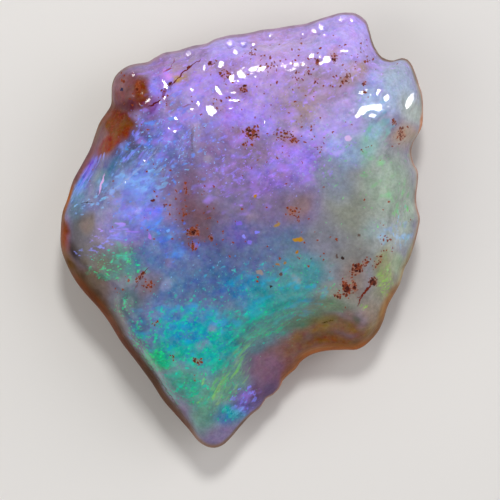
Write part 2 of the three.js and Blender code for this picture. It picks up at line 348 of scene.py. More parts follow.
@dataclass
class StoneForm:
    """The shape of the stone, in mm: the CAD's, with many more faces and a slightly calmer face.

    The face is calmer so that no highlight shows where the real one has none: face_gain scales its shorter
    waves. Places, the taper and the reach of the break are on the drawing, and angles are in degrees. The
    waves sway by a reach, a length and a shift. The dome sinks from one height on the drawing to another,
    to a share. A section is its squareness and its roundness. The inner rings follow a smoothed outline and
    take on the true one by fade_power. The forms are at full height from the crown forms_full on. The break
    is dented less, by break_dent, and leans in by lean_power. A facet takes away a share of the fine relief.
    """

    face_height: float = 8.1
    rim_height: float = 3.5
    back_depth: float = 3.95
    hub: Pair = (245, 235)
    fade_angle: float = 24
    fade_samples: int = 13
    fade_power: int = 4
    outline_samples: int = 1600
    sway: tuple[float, float, float] = (0.8, 9.7, 2.2)
    face_gain: float = 0.3
    forms_full: float = 0.7
    taper: tuple[float, float, float] = (250, 449, 0.62)
    face_section: Pair = (5.2, 2.05)
    back_section: Pair = (3.0, 2.0)
    break_section: Pair = (13.0, 3.2)
    break_line: tuple[Pair, Pair] = ((112, 328), (190, 432))
    break_lean: float = 14
    break_reach: float = 34
    break_dent: float = 0.6
    lean_power: int = 6
    scoop_at: Pair = (324, 421)
    scoop_radius: float = 10
    scoop_height: float = 12.45
    scoop_softness: float = 0.7
    corner: Swelling = Swelling((372, 322), (15, 20), 25, 0.3)
    rim_spread: float = 0.92
    turns: int = 540
    face_rings: int = 122
    back_rings: int = 42
    crowding: float = 0.35
    facet_sway: Pair = (0.28, 0.09)
    facet_edge: Pair = (1.2, 1.9)
    facet_calm: float = 0.9
    reader: tuple[Array, Array] = field(init=False)

    def __post_init__(self) -> None:
        """Reads the outline once, as a distance from the hub in each direction."""
        self.reader = self.read_outline()

    def read_outline(self) -> tuple[Array, Array]:
        """Runs a smooth closed curve through the outline's points.

        Returns:
            The directions from the hub, and the distances to the outline in mm.
        """
        hub = np.array(place(self.hub))
        corners = np.array([place(at) for at in OUTLINE]) - hub
        walk = np.arange(self.outline_samples) / self.outline_samples * len(corners)
        start = walk.astype(int)
        share = (walk - start)[:, None]
        before, here, ahead, beyond = (corners[(start + step) % len(corners)] for step in (-1, 0, 1, 2))
        leaving, arriving = (ahead - before) / 2, (beyond - here) / 2
        rest = -3 * here + 3 * ahead - 2 * leaving - arriving
        last = 2 * here - 2 * ahead + leaving + arriving
        curve = here + leaving * share + rest * share**2 + last * share**3
        angles = np.arctan2(curve[:, 1], curve[:, 0])
        order = np.argsort(angles)
        return angles[order], np.hypot(curve[:, 0], curve[:, 1])[order]

    def edge(self, angle: Array) -> Array:
        """The distance from the hub to the outline in a direction."""
        return np.interp(angle, *self.reader, period=2 * math.pi)

    def mean_edge(self, angle: Array) -> Array:
        """The mean distance to the outline round a direction."""
        spread = np.radians(np.linspace(-self.fade_angle, self.fade_angle, self.fade_samples))
        return np.mean([self.edge(angle + aside) for aside in spread], axis=0)

    def rim(self, angle: Array) -> Array:
        """The height of the widest line round the stone."""
        return self.rim_height + sum(wave.size * wave.value(angle) for wave in RIM_WAVES)

    def broken(self, x: Array, y: Array) -> Array:
        """How much of the break the outline has.

        Args:
            x: The outline's x, in mm.
            y: Its y.

        Returns:
            1 where the outline runs along the break, falling to 0 past its ends.
        """
        start, end = (np.array(place(at)) for at in self.break_line)
        run = end - start
        share = np.clip(((x - start[0]) * run[0] + (y - start[1]) * run[1]) / (run @ run), 0, 1)
        away = np.hypot(x - start[0] - share * run[0], y - start[1] - share * run[1])
        return 1 - rise(0, self.break_reach * UNIT_MM, away)

    def wave_height(self, x: Array, y: Array, gain: float) -> Array:
        """The height of the low waves.

        Args:
            x: The points' x, in mm.
            y: Their y.
            gain: What the shorter waves are scaled by.

        Returns:
            The height in mm at each point.
        """
        size, length, shift = self.sway
        turn = 2 * math.pi / length
        swayed_x = x + size * np.sin(turn * y + shift)
        swayed_y = y + size * np.sin(turn * x)
        total = np.zeros_like(x)
        for index, ripple in enumerate(RIPPLES):
            angle = math.radians(ripple.turn)
            along = swayed_x * math.cos(angle) + swayed_y * math.sin(angle)
            wave = ripple.height * np.sin(2 * math.pi * along / ripple.length + ripple.shift)
            total = total + (wave if index < LONG_RIPPLES else gain * wave)
        return total

    def side_dent(self, angle: Array, crown: Array, side: Side) -> Array:
        """How far the side is drawn in between the rim, at crown 0, and the face or back, at crown 1."""
        depth = sum(dent.size * (1 + dent.value(angle, side.value * crown)) / 2 for dent in SIDE_DENTS)
        return depth * (4 * crown * (1 - crown)) ** 2

    def crown(self, angle: Array, share: Array, broken: Array, side: Side) -> Array:
        """How high the section stands.

        Args:
            angle: The direction from the hub.
            share: The share of the way from the hub to the rim.
            broken: How much of the break the outline has there.
            side: The side of the rim.

        Returns:
            The crown, from 0 at the rim to 1 in the middle.
        """
        squareness, roundness = self.back_section
        if side is Side.FACE:
            squareness = self.face_section[0] + sum(wave.size * wave.value(angle) for wave in SECTION_WAVES)
            squareness = mix(squareness, self.break_section[0], broken)
            roundness = mix(self.face_section[1], self.break_section[1], broken)
        return np.power(np.maximum(0, 1 - share**squareness), 1 / roundness)

    def scoop(self, x: Array, y: Array) -> Array:
        """The height of the ball-shaped scoop.

        Args:
            x: The points' x, in mm.
            y: Their y.

        Returns:
            Its height in mm, or a height above the stone where it doesn't reach.
        """
        middle = place(self.scoop_at)
        inside = self.scoop_radius**2 - (x - middle[0]) ** 2 - (y - middle[1]) ** 2
        ball = self.scoop_height - np.sqrt(np.maximum(inside, 0))
        return np.where(inside > 0, ball, 2 * self.scoop_height)

    def face(self, x: Array, y: Array, crown: Array, rim: Array) -> Array:
        """The face, domed and scooped, with its swellings and waves.

        Args:
            x: The points' x, in mm.
            y: Their y.
            crown: How high the section stands there, from 0 to 1.
            rim: The height of the widest line, in mm.

        Returns:
            The height of the face in mm.
        """
        drawn_y = DRAWN_MIDDLE[1] - y / UNIT_MM
        taper = mix(1.0, self.taper[2], rise(self.taper[0], self.taper[1], drawn_y))
        flatness = rise(0, self.forms_full, crown)
        waves = self.wave_height(x, y, self.face_gain)
        swell = sum(form.heights(x, y) for form in FACE_FORMS.values()) + waves
        domed = rim + crown * (self.face_height - rim) * taper + flatness * swell
        scooped = np.maximum(self.scoop(x, y), rim)
        share = np.clip(0.5 + (scooped - domed) / (2 * self.scoop_softness), 0, 1)
        cut = mix(scooped, domed, share) - self.scoop_softness * share * (1 - share)
        return cut + flatness * self.corner.heights(x, y)

    def back(self, x: Array, y: Array, crown: Array, rim: Array) -> Array:
        """The back, with its hollows.

        Args:
            x: The points' x, in mm.
            y: Their y.
            crown: How high the section stands there, from 0 to 1.
            rim: The height of the widest line, in mm.

        Returns:
            The height of the back in mm, flat where it would go below the resting face.
        """
        hollow = sum(form.heights(x, y) for form in BACK_FORMS.values()) + self.wave_height(x, y, 1.0)
        depth = rim + self.back_depth - self.rim_height
        return np.maximum(0, rim - crown * depth + rise(0, self.forms_full, crown) * hollow)

    def sheet(self, side: Side, rings: Array) -> Array:
        """Lays out one side of the stone in rings round the hub.

        Args:
            side: The side of the rim.
            rings: Each ring's share of the way from the hub to the rim, along the surface.

        Returns:
            For each ring and turn the x, y and height in mm, the distance in from the outline in mm, below
            0 on the back, and the share of the fine relief that it has.
        """
        turn = np.arange(self.turns) / self.turns * 2 * math.pi
        turn = turn - self.crowding * np.sin(turn - math.pi / 2)
        angle, share = np.meshgrid(turn, np.sin(rings * math.pi / 2) ** self.rim_spread)
        hub = place(self.hub)
        edge, rim = self.edge(angle), self.rim(angle)
        broken = self.broken(hub[0] + edge * np.cos(angle), hub[1] + edge * np.sin(angle))
        fading = mix(self.mean_edge(angle), edge, share**self.fade_power) * share
        crown = self.crown(angle, share, broken, side)
        dent = self.side_dent(angle, crown, side) * (1 - self.break_dent * broken)
        if side is Side.FACE:
            lean = math.tan(math.radians(self.break_lean))
            dent = dent + broken * crown * (self.face_height - rim) * lean * share**self.lean_power
        x = hub[0] + (fading - dent) * np.cos(angle)
        y = hub[1] + (fading - dent) * np.sin(angle)
        height = self.face if side is Side.FACE else self.back
        inward = side.value * (edge - fading + dent)
        return np.stack([x, y, height(x, y, crown, rim), inward, np.ones_like(x)], -1)

    def facets(self, sheet: Array) -> None:
        """Cuts the facets that face the window into the face, and keeps the fine relief off them.

        Args:
            sheet: The face, by ring and turn.
        """
        x, y = sheet[..., 0], sheet[..., 1]
        uneven = swayed(as_drawn(sheet[..., :3]).reshape(-1, 3), *self.facet_sway).reshape(*x.shape, 3)
        for glint in GLINTS:
            away = glint.reach(uneven[..., 0], uneven[..., 1])
            middle = Vector(sheet[np.unravel_index(np.argmin(away), away.shape)][:3])
            facing = (Vector(EYE) - middle).normalized() + (Vector(WINDOW) - middle).normalized()
            fall = ((x - middle.x) * facing.x + (y - middle.y) * facing.y) / facing.z
            share = 1 - rise(*self.facet_edge, away)
            sheet[..., HEIGHT] = mix(sheet[..., HEIGHT], middle.z - fall, share)
            sheet[..., RELIEF] *= 1 - self.facet_calm * share

    def mesh(self, name: str) -> bpy.types.Mesh:
        """Builds the stone's mesh, in metres.

        Args:
            name: The mesh's name.

        Returns:
            The mesh, closed, with its faces outward. Its fields are the distance in from the outline and
            the share of the fine relief.
        """
        face = self.sheet(Side.FACE, np.arange(1, self.face_rings + 1) / self.face_rings)
        self.facets(face)
        back = self.sheet(Side.BACK, np.arange(self.back_rings - 1, 0, -1) / self.back_rings)
        hubs = [self.sheet(side, np.zeros(1))[0, :1] for side in Side]
        points = np.concatenate([hubs[0], face.reshape(-1, COLUMNS), back.reshape(-1, COLUMNS), hubs[1]])
        rings = np.arange(len(points) - 2).reshape(-1, self.turns) + 1
        ahead = np.roll(rings, -1, axis=1)
        quads = np.stack([rings[:-1], rings[1:], ahead[1:], ahead[:-1]], -1).reshape(-1, 4)
        first = [(0, here, there) for here, there in zip(rings[0].tolist(), ahead[0].tolist())]
        last = [(len(points) - 1, there, here)
                for here, there in zip(rings[-1].tolist(), ahead[-1].tolist())]
        mesh = bpy.data.meshes.new(name)
        mesh.from_pydata((points[:, :3] * MM).tolist(), [], first + quads.tolist() + last)
        for column, label in ((INWARD, "inward"), (RELIEF, "relief")):
            mesh.attributes.new(label, "FLOAT", "POINT").data.foreach_set("value", points[:, column])
        return mesh


class GroupInput(Enum):
    """The named inputs of the fine relief, with the kind of socket that each takes."""

    WRINKLE_HEIGHT = ("Wrinkle height", "NodeSocketFloat")
    WRINKLE_LENGTH = ("Wrinkle length", "NodeSocketFloat")
    WRINKLES_FROM = ("Wrinkles from", "NodeSocketFloat")
    WRINKLES_FULL = ("Wrinkles full", "NodeSocketFloat")
    SKIN_HEIGHT = ("Skin height", "NodeSocketFloat")
    SKIN_LENGTH = ("Skin length", "NodeSocketFloat")
    PIT_SPACING = ("Pit spacing", "NodeSocketFloat")
    PIT_DEPTH = ("Pit depth", "NodeSocketFloat")
    PIT_RADIUS = ("Pit radius", "NodeSocketFloat")
    SEED = ("Seed", "NodeSocketInt")
    FINISH = ("Finish", "NodeSocketMaterial")


@dataclass(frozen=True)
class FineRelief:
    """The skin's wrinkles, low grain and pits, pushed out by Geometry Nodes. Lengths are in mm.

    The wrinkles run from one height on the drawing up to another. The relief fades in over resting_clear
    above the resting face. Below the wrinkles a share of the pits is left, and most_pits is how many there
    may be on a square metre before the spacing thins them.
    """

    wrinkle_height: float = 0.07
    wrinkle_length: float = 1.5
    wrinkles_from: float = 130
    wrinkles_full: float = 80
    skin_height: float = 0.03
    skin_length: float = 2.4
    pit_spacing: float = 1.3
    pit_depth: float = 0.05
    pit_radius: float = 0.22
    seed: int = 4
    resting_clear: Pair = (0.05, 0.9)
    pits_elsewhere: float = 0.05
    most_pits: float = 4e6

    def tree(self) -> Tree:
        """Builds the tree, with a socket for each named input.

        Returns:
            The tree, which ends in plain geometry with its material set.
        """
        tree = bpy.data.node_groups.new("fine_relief", "GeometryNodeTree")
        tree.interface.new_socket("Geometry", in_out="INPUT", socket_type="NodeSocketGeometry")
        tree.interface.new_socket("Geometry", in_out="OUTPUT", socket_type="NodeSocketGeometry")
        for entry in GroupInput:
            label, kind = entry.value
            tree.interface.new_socket(label, in_out="INPUT", socket_type=kind)
        given = add_node(tree, "NodeGroupInput").outputs
        heights = [self.wrinkles(tree, given), self.skin(tree, given), self.pits(tree, given)]
        first = add_node(tree, "ShaderNodeMath", {0: heights[0], 1: heights[1]}, operation="ADD").outputs[0]
        total = add_node(tree, "ShaderNodeMath", {0: first, 1: heights[2]}, operation="ADD").outputs[0]
        clear = add_node(tree, "ShaderNodeMath", {0: total, 1: self.resting(tree)},
                         operation="MULTIPLY").outputs[0]
        share = add_node(tree, "GeometryNodeInputNamedAttribute", {"Name": "relief"}).outputs[0]
        height = add_node(tree, "ShaderNodeMath", {0: clear, 1: share}, operation="MULTIPLY").outputs[0]
        normal = add_node(tree, "GeometryNodeInputNormal").outputs[0]
        offset = add_node(tree, "ShaderNodeVectorMath", {0: normal, "Scale": height},
                          operation="SCALE").outputs[0]
        moved = add_node(tree, "GeometryNodeSetPosition", {"Geometry": given["Geometry"],
                         "Offset": offset}).outputs[0]
        real = add_node(tree, "GeometryNodeRealizeInstances", {"Geometry": moved}).outputs[0]
        dressed = add_node(tree, "GeometryNodeSetMaterial", {"Geometry": real,
                           "Material": given["Finish"]}).outputs[0]
        add_node(tree, "NodeGroupOutput", {"Geometry": dressed})
        return tree

    def resting(self, tree: Tree) -> Socket:
        """Keeps the relief off the resting face, which stays flat.

        Args:
            tree: The tree that is built.

        Returns:
            1 over the stone and 0 on the resting face.
        """
        where = add_node(tree, "GeometryNodeInputPosition").outputs[0]
        height = add_node(tree, "ShaderNodeSeparateXYZ", {0: where}).outputs["Z"]
        return add_node(tree, "ShaderNodeMapRange", {"Value": height, "From Min":
                        self.resting_clear[0] * MM, "From Max": self.resting_clear[1] * MM},
                        **SMOOTH).outputs[0]

    def wrinkles(self, tree: Tree, given: Sockets) -> Socket:
        """The broad end's wrinkles.

        Args:
            tree: The tree that is built.
            given: The sockets of the named inputs.

        Returns:
            Their heights.
        """
        where = add_node(tree, "GeometryNodeInputPosition").outputs[0]
        scale = add_node(tree, "ShaderNodeMath", {0: 1.0, 1: given["Wrinkle length"]},
                         operation="DIVIDE").outputs[0]
        waves = add_node(tree, "ShaderNodeTexNoise", {"Vector": where, "Scale": scale, "Detail": 3.0,
                         "Roughness": 0.45, "Distortion": 0.6}).outputs[0]
        centred = add_node(tree, "ShaderNodeMath", {0: waves, 1: 0.5}, operation="SUBTRACT").outputs[0]
        along = add_node(tree, "ShaderNodeSeparateXYZ", {0: where}).outputs["Y"]
        band = add_node(tree, "ShaderNodeMapRange", {"Value": along, "From Min": given["Wrinkles from"],
                        "From Max": given["Wrinkles full"]}, **SMOOTH).outputs[0]
        sized = add_node(tree, "ShaderNodeMath", {0: centred, 1: given["Wrinkle height"]},
                         operation="MULTIPLY").outputs[0]
        return add_node(tree, "ShaderNodeMath", {0: sized, 1: band}, operation="MULTIPLY").outputs[0]

    def skin(self, tree: Tree, given: Sockets) -> Socket:
        """The low grain that the whole skin has.

        Args:
            tree: The tree that is built.
            given: The sockets of the named inputs.

        Returns:
            Its heights.
        """
        where = add_node(tree, "GeometryNodeInputPosition").outputs[0]
        scale = add_node(tree, "ShaderNodeMath", {0: 1.0, 1: given["Skin length"]},
                         operation="DIVIDE").outputs[0]
        waves = add_node(tree, "ShaderNodeTexNoise", {"Vector": where, "Scale": scale, "Detail": 3.0,
                         "Roughness": 0.4}).outputs[0]
        centred = add_node(tree, "ShaderNodeMath", {0: waves, 1: 0.5}, operation="SUBTRACT").outputs[0]
        return add_node(tree, "ShaderNodeMath", {0: centred, 1: given["Skin height"]},
                        operation="MULTIPLY").outputs[0]

    def pits(self, tree: Tree, given: Sockets) -> Socket:
        """Round pits, most of them in the wrinkled skin.

        Args:
            tree: The tree that is built.
            given: The sockets of the named inputs.

        Returns:
            Their heights, below 0.
        """
        where = add_node(tree, "GeometryNodeInputPosition").outputs[0]
        along = add_node(tree, "ShaderNodeSeparateXYZ", {0: where}).outputs["Y"]
        band = add_node(tree, "ShaderNodeMapRange", {"Value": along, "From Min": given["Wrinkles from"],
                        "From Max": given["Wrinkles full"], "To Min": self.pits_elsewhere,
                        "To Max": 1.0}).outputs[0]
        strewn = add_node(tree, "GeometryNodeDistributePointsOnFaces", {"Mesh": given["Geometry"],
                          "Distance Min": given["Pit spacing"], "Density Max": self.most_pits,
                          "Density Factor": band, "Seed": given["Seed"]},
                          distribute_method="POISSON").outputs["Points"]
        away = add_node(tree, "GeometryNodeProximity", {0: strewn},
                        target_element="POINTS").outputs["Distance"]
        depth = add_node(tree, "ShaderNodeMath", {0: given["Pit depth"], 1: -1.0},
                         operation="MULTIPLY").outputs[0]
        return add_node(tree, "ShaderNodeMapRange", {"Value": away, "From Min": 0.0, "From Max":
                        given["Pit radius"], "To Min": depth, "To Max": 0.0}, **SMOOTH).outputs[0]

    def values(self, finish: bpy.types.Material) -> dict[GroupInput, object]:
        """The value of each named input.

        Args:
            finish: The material that the tree sets.

        Returns:
            The values, lengths in metres.
        """
        return {
            GroupInput.WRINKLE_HEIGHT: self.wrinkle_height * MM,
            GroupInput.WRINKLE_LENGTH: self.wrinkle_length * MM,
            GroupInput.WRINKLES_FROM: place((0, self.wrinkles_from))[1] * MM,
            GroupInput.WRINKLES_FULL: place((0, self.wrinkles_full))[1] * MM,
            GroupInput.SKIN_HEIGHT: self.skin_height * MM,
            GroupInput.SKIN_LENGTH: self.skin_length * MM,
            GroupInput.PIT_SPACING: self.pit_spacing * MM,
            GroupInput.PIT_DEPTH: self.pit_depth * MM,
            GroupInput.PIT_RADIUS: self.pit_radius * MM,
            GroupInput.SEED: self.seed,
            GroupInput.FINISH: finish,
        }

    def raise_on(self, stone: bpy.types.Object, finish: bpy.types.Material) -> None:
        """Raises the relief on a stone and leaves it a plain mesh.

        Args:
            stone: The object that is changed.
            finish: The material that the tree sets.
        """
        tree = self.tree()
        items = tree.interface.items_tree
        sockets = {item.name: item.identifier for item in items if item.in_out == "INPUT"}
        modifier = stone.modifiers.new("fine relief", "NODES")
        modifier.node_group = tree
        for entry, value in self.values(finish).items():
            modifier[sockets[entry.value[0]]] = value
        stone.update_tag()
        graph = bpy.context.evaluated_depsgraph_get()
        smooth = bpy.data.meshes.new_from_object(stone.evaluated_get(graph))
        stone.modifiers.remove(modifier)
        stone.data = smooth
        stone.data.shade_smooth()


@dataclass(frozen=True)
class Zone(Patch):
    """A soft patch of colour, how strong it is, and how much of it is at full strength."""

    colour: str
    strength: float = 0.9
    core: float = 0.2


@dataclass(frozen=True)
class Band(Patch):
    """A stretch of the rim: its colour, and how far in from the outline the colour reaches, in mm."""

    colour: str
    width: float
    strength: float = 1.0
    core: float = 0.3


class Fire(Enum):
    """The spectral colours that the silica spheres throw back."""

    VIOLET = "#a884f8"
    LILAC = "#c0a4fa"
    PERIWINKLE = "#8486f8"
    BLUE = "#4f8cf0"
    SKY = "#84baf8"
    CYAN = "#04a8dc"
    TEAL = "#00c8a4"
    GREEN = "#14dc84"
    LEAF = "#6cd078"
    LIME = "#9cd850"
    ROSE = "#d094ee"


@dataclass(frozen=True)
class FireZone(Patch):
    """A part of the stone that flashes in one colour, and how many of its grains are lit."""

    fire: Fire
    share: float


@dataclass(frozen=True)
class Lattice:
    """Silica grains of one size, in mm, and one lie, in degrees, and where on the stone they are lit.

    The edge is how softly a lit grain ends, as a step of the noise that strews the grains.
    """

    name: str
    grain: Pair
    lie: float
    strength: float
    edge: float
    zones: tuple[FireZone, ...]


@dataclass(frozen=True)
class RustCluster(Patch):
    """Iron stain in pin holes, and how thick its specks stand."""

    thickness: float


@dataclass(frozen=True)
class Mark:
    """A crack, scratch or inclusion: its middle, size and turn on the drawing, its bow and its colour."""

    at: Pair
    half_length: float
    half_width: float
    turn: float
    bow: float
    colour: str
    strength: float = 1.0


# The milky body's patches of colour, broad ones under smaller ones. A few hold painted light, as marked.
BODY = (
    Zone((330, 362), (84, 26), 8, "#8c5626"), Zone((296, 380), (34, 24), 45, "#805040"),
    Zone((92, 318), (34, 80), 30, "#64503c"), Zone((262, 66), (175, 70), 12, "#b49cde"),
    Zone((268, 52), (40, 36), 0, "#bd9cd2"), Zone((345, 34), (42, 40), 0, "#baa8f8"),
    Zone((226, 52), (32, 24), 0, "#b0a0ee"), Zone((182, 68), (26, 18), 20, "#a488a6"),
    Zone((158, 84), (17, 24), -20, "#9c76dc"), Zone((162, 62), (18, 12), 15, "#9472a8"),
    Zone((215, 108), (66, 46), 0, "#ac94d8"), Zone((243, 116), (34, 22), 0, "#a88aee"),
    Zone((230, 160), (62, 50), 0, "#8c74a6"), Zone((272, 215), (90, 46), 0, "#786b8e"),
    Zone((305, 100), (36, 30), 0, "#a48c94"), Zone((313, 76), (24, 26), 0, "#a58d9e"),
    Zone((346, 82), (26, 18), 35, "#a48a98"), Zone((335, 128), (40, 24), 10, "#b0a6ea"),
    Zone((331, 111), (20, 11), 0, "#b29fd2"), Zone((300, 165), (30, 34), 0, "#9a80e0"),
    Zone((268, 178), (26, 22), 0, "#8e74cc"), Zone((285, 150), (26, 16), 0, "#a485da"),
    Zone((256, 156), (22, 18), 0, "#867090"), Zone((241, 132), (12, 10), 0, "#93789c", 0.8),
    Zone((150, 148), (54, 44), 0, "#626cac"), Zone((168, 130), (28, 26), 0, "#7674c0"),
    Zone((128, 158), (42, 14), 35, "#527498"), Zone((88, 176), (14, 34), -25, "#5c66c0"),
    Zone((78, 202), (16, 24), 0, "#5a88ac"), Zone((106, 182), (16, 22), -20, "#56809e"),
    Zone((120, 163), (26, 12), 35, "#4c7098"), Zone((93, 167), (8, 14), -28, "#7858e0", 1.0),
    Zone((82, 184), (8, 13), -20, "#5c88e4", 1.0), Zone((141, 186), (32, 20), 0, "#7290e0"),
    Zone((141, 217), (28, 24), 0, "#7c84e0"), Zone((104, 206), (28, 22), 0, "#7880b4"),
    Zone((128, 232), (36, 14), 0, "#7c78c8"), Zone((82, 226), (18, 16), 0, "#606a6c"),
    Zone((90, 222), (12, 10), 0, "#84766e"), Zone((190, 188), (22, 36), 0, "#765e7c"),
    Zone((186, 208), (16, 26), 0, "#704f62"), Zone((203, 226), (27, 32), 0, "#6c4850"),
    Zone((294, 210), (18, 14), 0, "#8a7076"), Zone((245, 252), (84, 36), 0, "#5e6a98"),
    Zone((215, 250), (28, 20), 0, "#585e8e"), Zone((238, 232), (20, 14), 0, "#665ea8"),
    Zone((285, 244), (38, 26), 0, "#5e7494"), Zone((172, 245), (34, 30), 0, "#5472bc"),
    Zone((166, 286), (36, 34), 0, "#5c7ca4"), Zone((215, 286), (70, 40), 0, "#40689a"),
    Zone((258, 297), (38, 26), 0, "#3484b0"), Zone((298, 284), (54, 32), 20, "#429598"),
    Zone((270, 318), (46, 26), 38, "#349a94"), Zone((240, 336), (54, 34), 0, "#349296"),
    Zone((184, 334), (52, 34), 0, "#008cbc"), Zone((217, 358), (32, 24), 0, "#10a0a4"),
    Zone((162, 358), (24, 20), 0, "#209c7c"), Zone((190, 386), (32, 26), 0, "#349c88"),
    Zone((203, 412), (24, 32), 0, "#62a08c"), Zone((226, 384), (36, 20), 42, "#629c88"),
    Zone((258, 348), (30, 20), 34, "#4c8486"), Zone((231, 410), (20, 17), 0, "#2c88b0"),
    Zone((228, 405), (9, 8), 0, "#14a49c", 0.7), Zone((244, 396), (16, 18), 0, "#6a6298"),
    Zone((266, 376), (28, 24), 20, "#765670"), Zone((266, 396), (20, 15), 30, "#5e4868"),
    Zone((340, 296), (40, 18), 0, "#868c7c"), Zone((310, 313), (40, 16), 20, "#587c66"),
    # Zone((300, 322)) is painted light: made lighter to make up for the shade on the scooped slope.
    Zone((300, 322), (30, 12), 28, "#5c8068"), Zone((330, 306), (34, 9), 0, "#6c8668"),
    Zone((328, 320), (30, 10), 4, "#7c6a34"), Zone((324, 330), (34, 10), 6, "#8e6c28"),
    Zone((292, 340), (20, 10), 34, "#8c5c30"), Zone((322, 339), (34, 8), 8, "#72562c"),
    Zone((300, 349), (30, 11), 28, "#784e44"), Zone((282, 358), (24, 11), 38, "#845444"),
    Zone((268, 371), (22, 12), 40, "#8a687e"), Zone((338, 343), (44, 8), 2, "#86541e"),
    Zone((260, 356), (13, 10), 35, "#587a88", 0.8), Zone((374, 314), (24, 30), 15, "#a08c70"),
    Zone((368, 332), (20, 16), 30, "#967646"), Zone((349, 313), (8, 11), 20, "#8c6c66"),
    Zone((353, 316), (5, 6), 0, "#626458"), Zone((348, 329), (10, 6), 10, "#a0682c", 0.7),
    Zone((357, 333), (14, 8), 20, "#88522a", 0.7), Zone((357, 342), (7, 5), 0, "#5c4030"),
    Zone((384, 303), (7, 20), -25, "#746848"), Zone((378, 294), (14, 20), -20, "#a0968c"),
    Zone((366, 150), (13, 26), 0, "#7cb29c"), Zone((372, 212), (62, 104), 0, "#929c90"),
    Zone((345, 206), (30, 46), 0, "#868a7e"), Zone((334, 180), (26, 30), 0, "#848ea4"),
    Zone((346, 150), (28, 20), 0, "#8ea6ca"), Zone((370, 140), (18, 26), 0, "#88b0b0"),
    Zone((388, 182), (28, 36), 0, "#96ab98"), Zone((396, 238), (26, 30), 0, "#a8b4b4"),
    Zone((410, 214), (11, 40), 0, "#a4b4a4"), Zone((372, 232), (20, 20), 0, "#8a9c9e"),
    Zone((388, 274), (16, 30), -12, "#9a9c70"), Zone((350, 258), (34, 26), 0, "#80807e"),
    Zone((355, 280), (17, 22), 20, "#8e7e74"), Zone((322, 238), (24, 26), 0, "#7a7c86"),
    # Zone((372, 104)) is partly a painted highlight round the crescent glint, over the right lobe's pale blue.
    Zone((400, 84), (30, 40), 0, "#a8bcd4"), Zone((372, 104), (28, 20), 0, "#a6bce6"),
    Zone((376, 79), (14, 13), 0, "#a8b0ec"), Zone((412, 108), (16, 24), 0, "#b2beb6"),
    Zone((402, 136), (16, 18), 0, "#b09c84"), Zone((112, 266), (36, 24), 0, "#44685e"),
    Zone((124, 266), (13, 14), 0, "#3e8084"), Zone((96, 262), (12, 14), 0, "#5a5c48"),
    Zone((150, 257), (22, 15), 0, "#5a7cac"), Zone((92, 282), (16, 26), 40, "#6c5844"),
    Zone((128, 302), (26, 26), 0, "#4a6e70"), Zone((120, 316), (12, 26), 35, "#645c64"),
    Zone((142, 322), (18, 22), 0, "#46648c"), Zone((77, 250), (12, 26), 0, "#4a4450"),
    Zone((148, 283), (18, 20), 20, "#786a76"), Zone((148, 106), (10, 12), -20, "#7c4490", 0.8),
    Zone((128, 86), (26, 26), 0, "#7c4e52", 1.0, 0.5), Zone((120, 79), (11, 9), 20, "#8c646c", 0.7),
    Zone((141, 90), (9, 20), -8, "#743406", 1.0, 0.4), Zone((126, 105), (19, 10), 20, "#602a34", 1.0, 0.4),
    Zone((113, 107), (9, 10), 0, "#683820"), Zone((118, 127), (21, 20), 30, "#743400", 1.0, 0.6),
    Zone((121, 118), (11, 10), -15, "#662a00"), Zone((107, 145), (19, 13), 52, "#8a3a04", 1.0, 0.5),
)
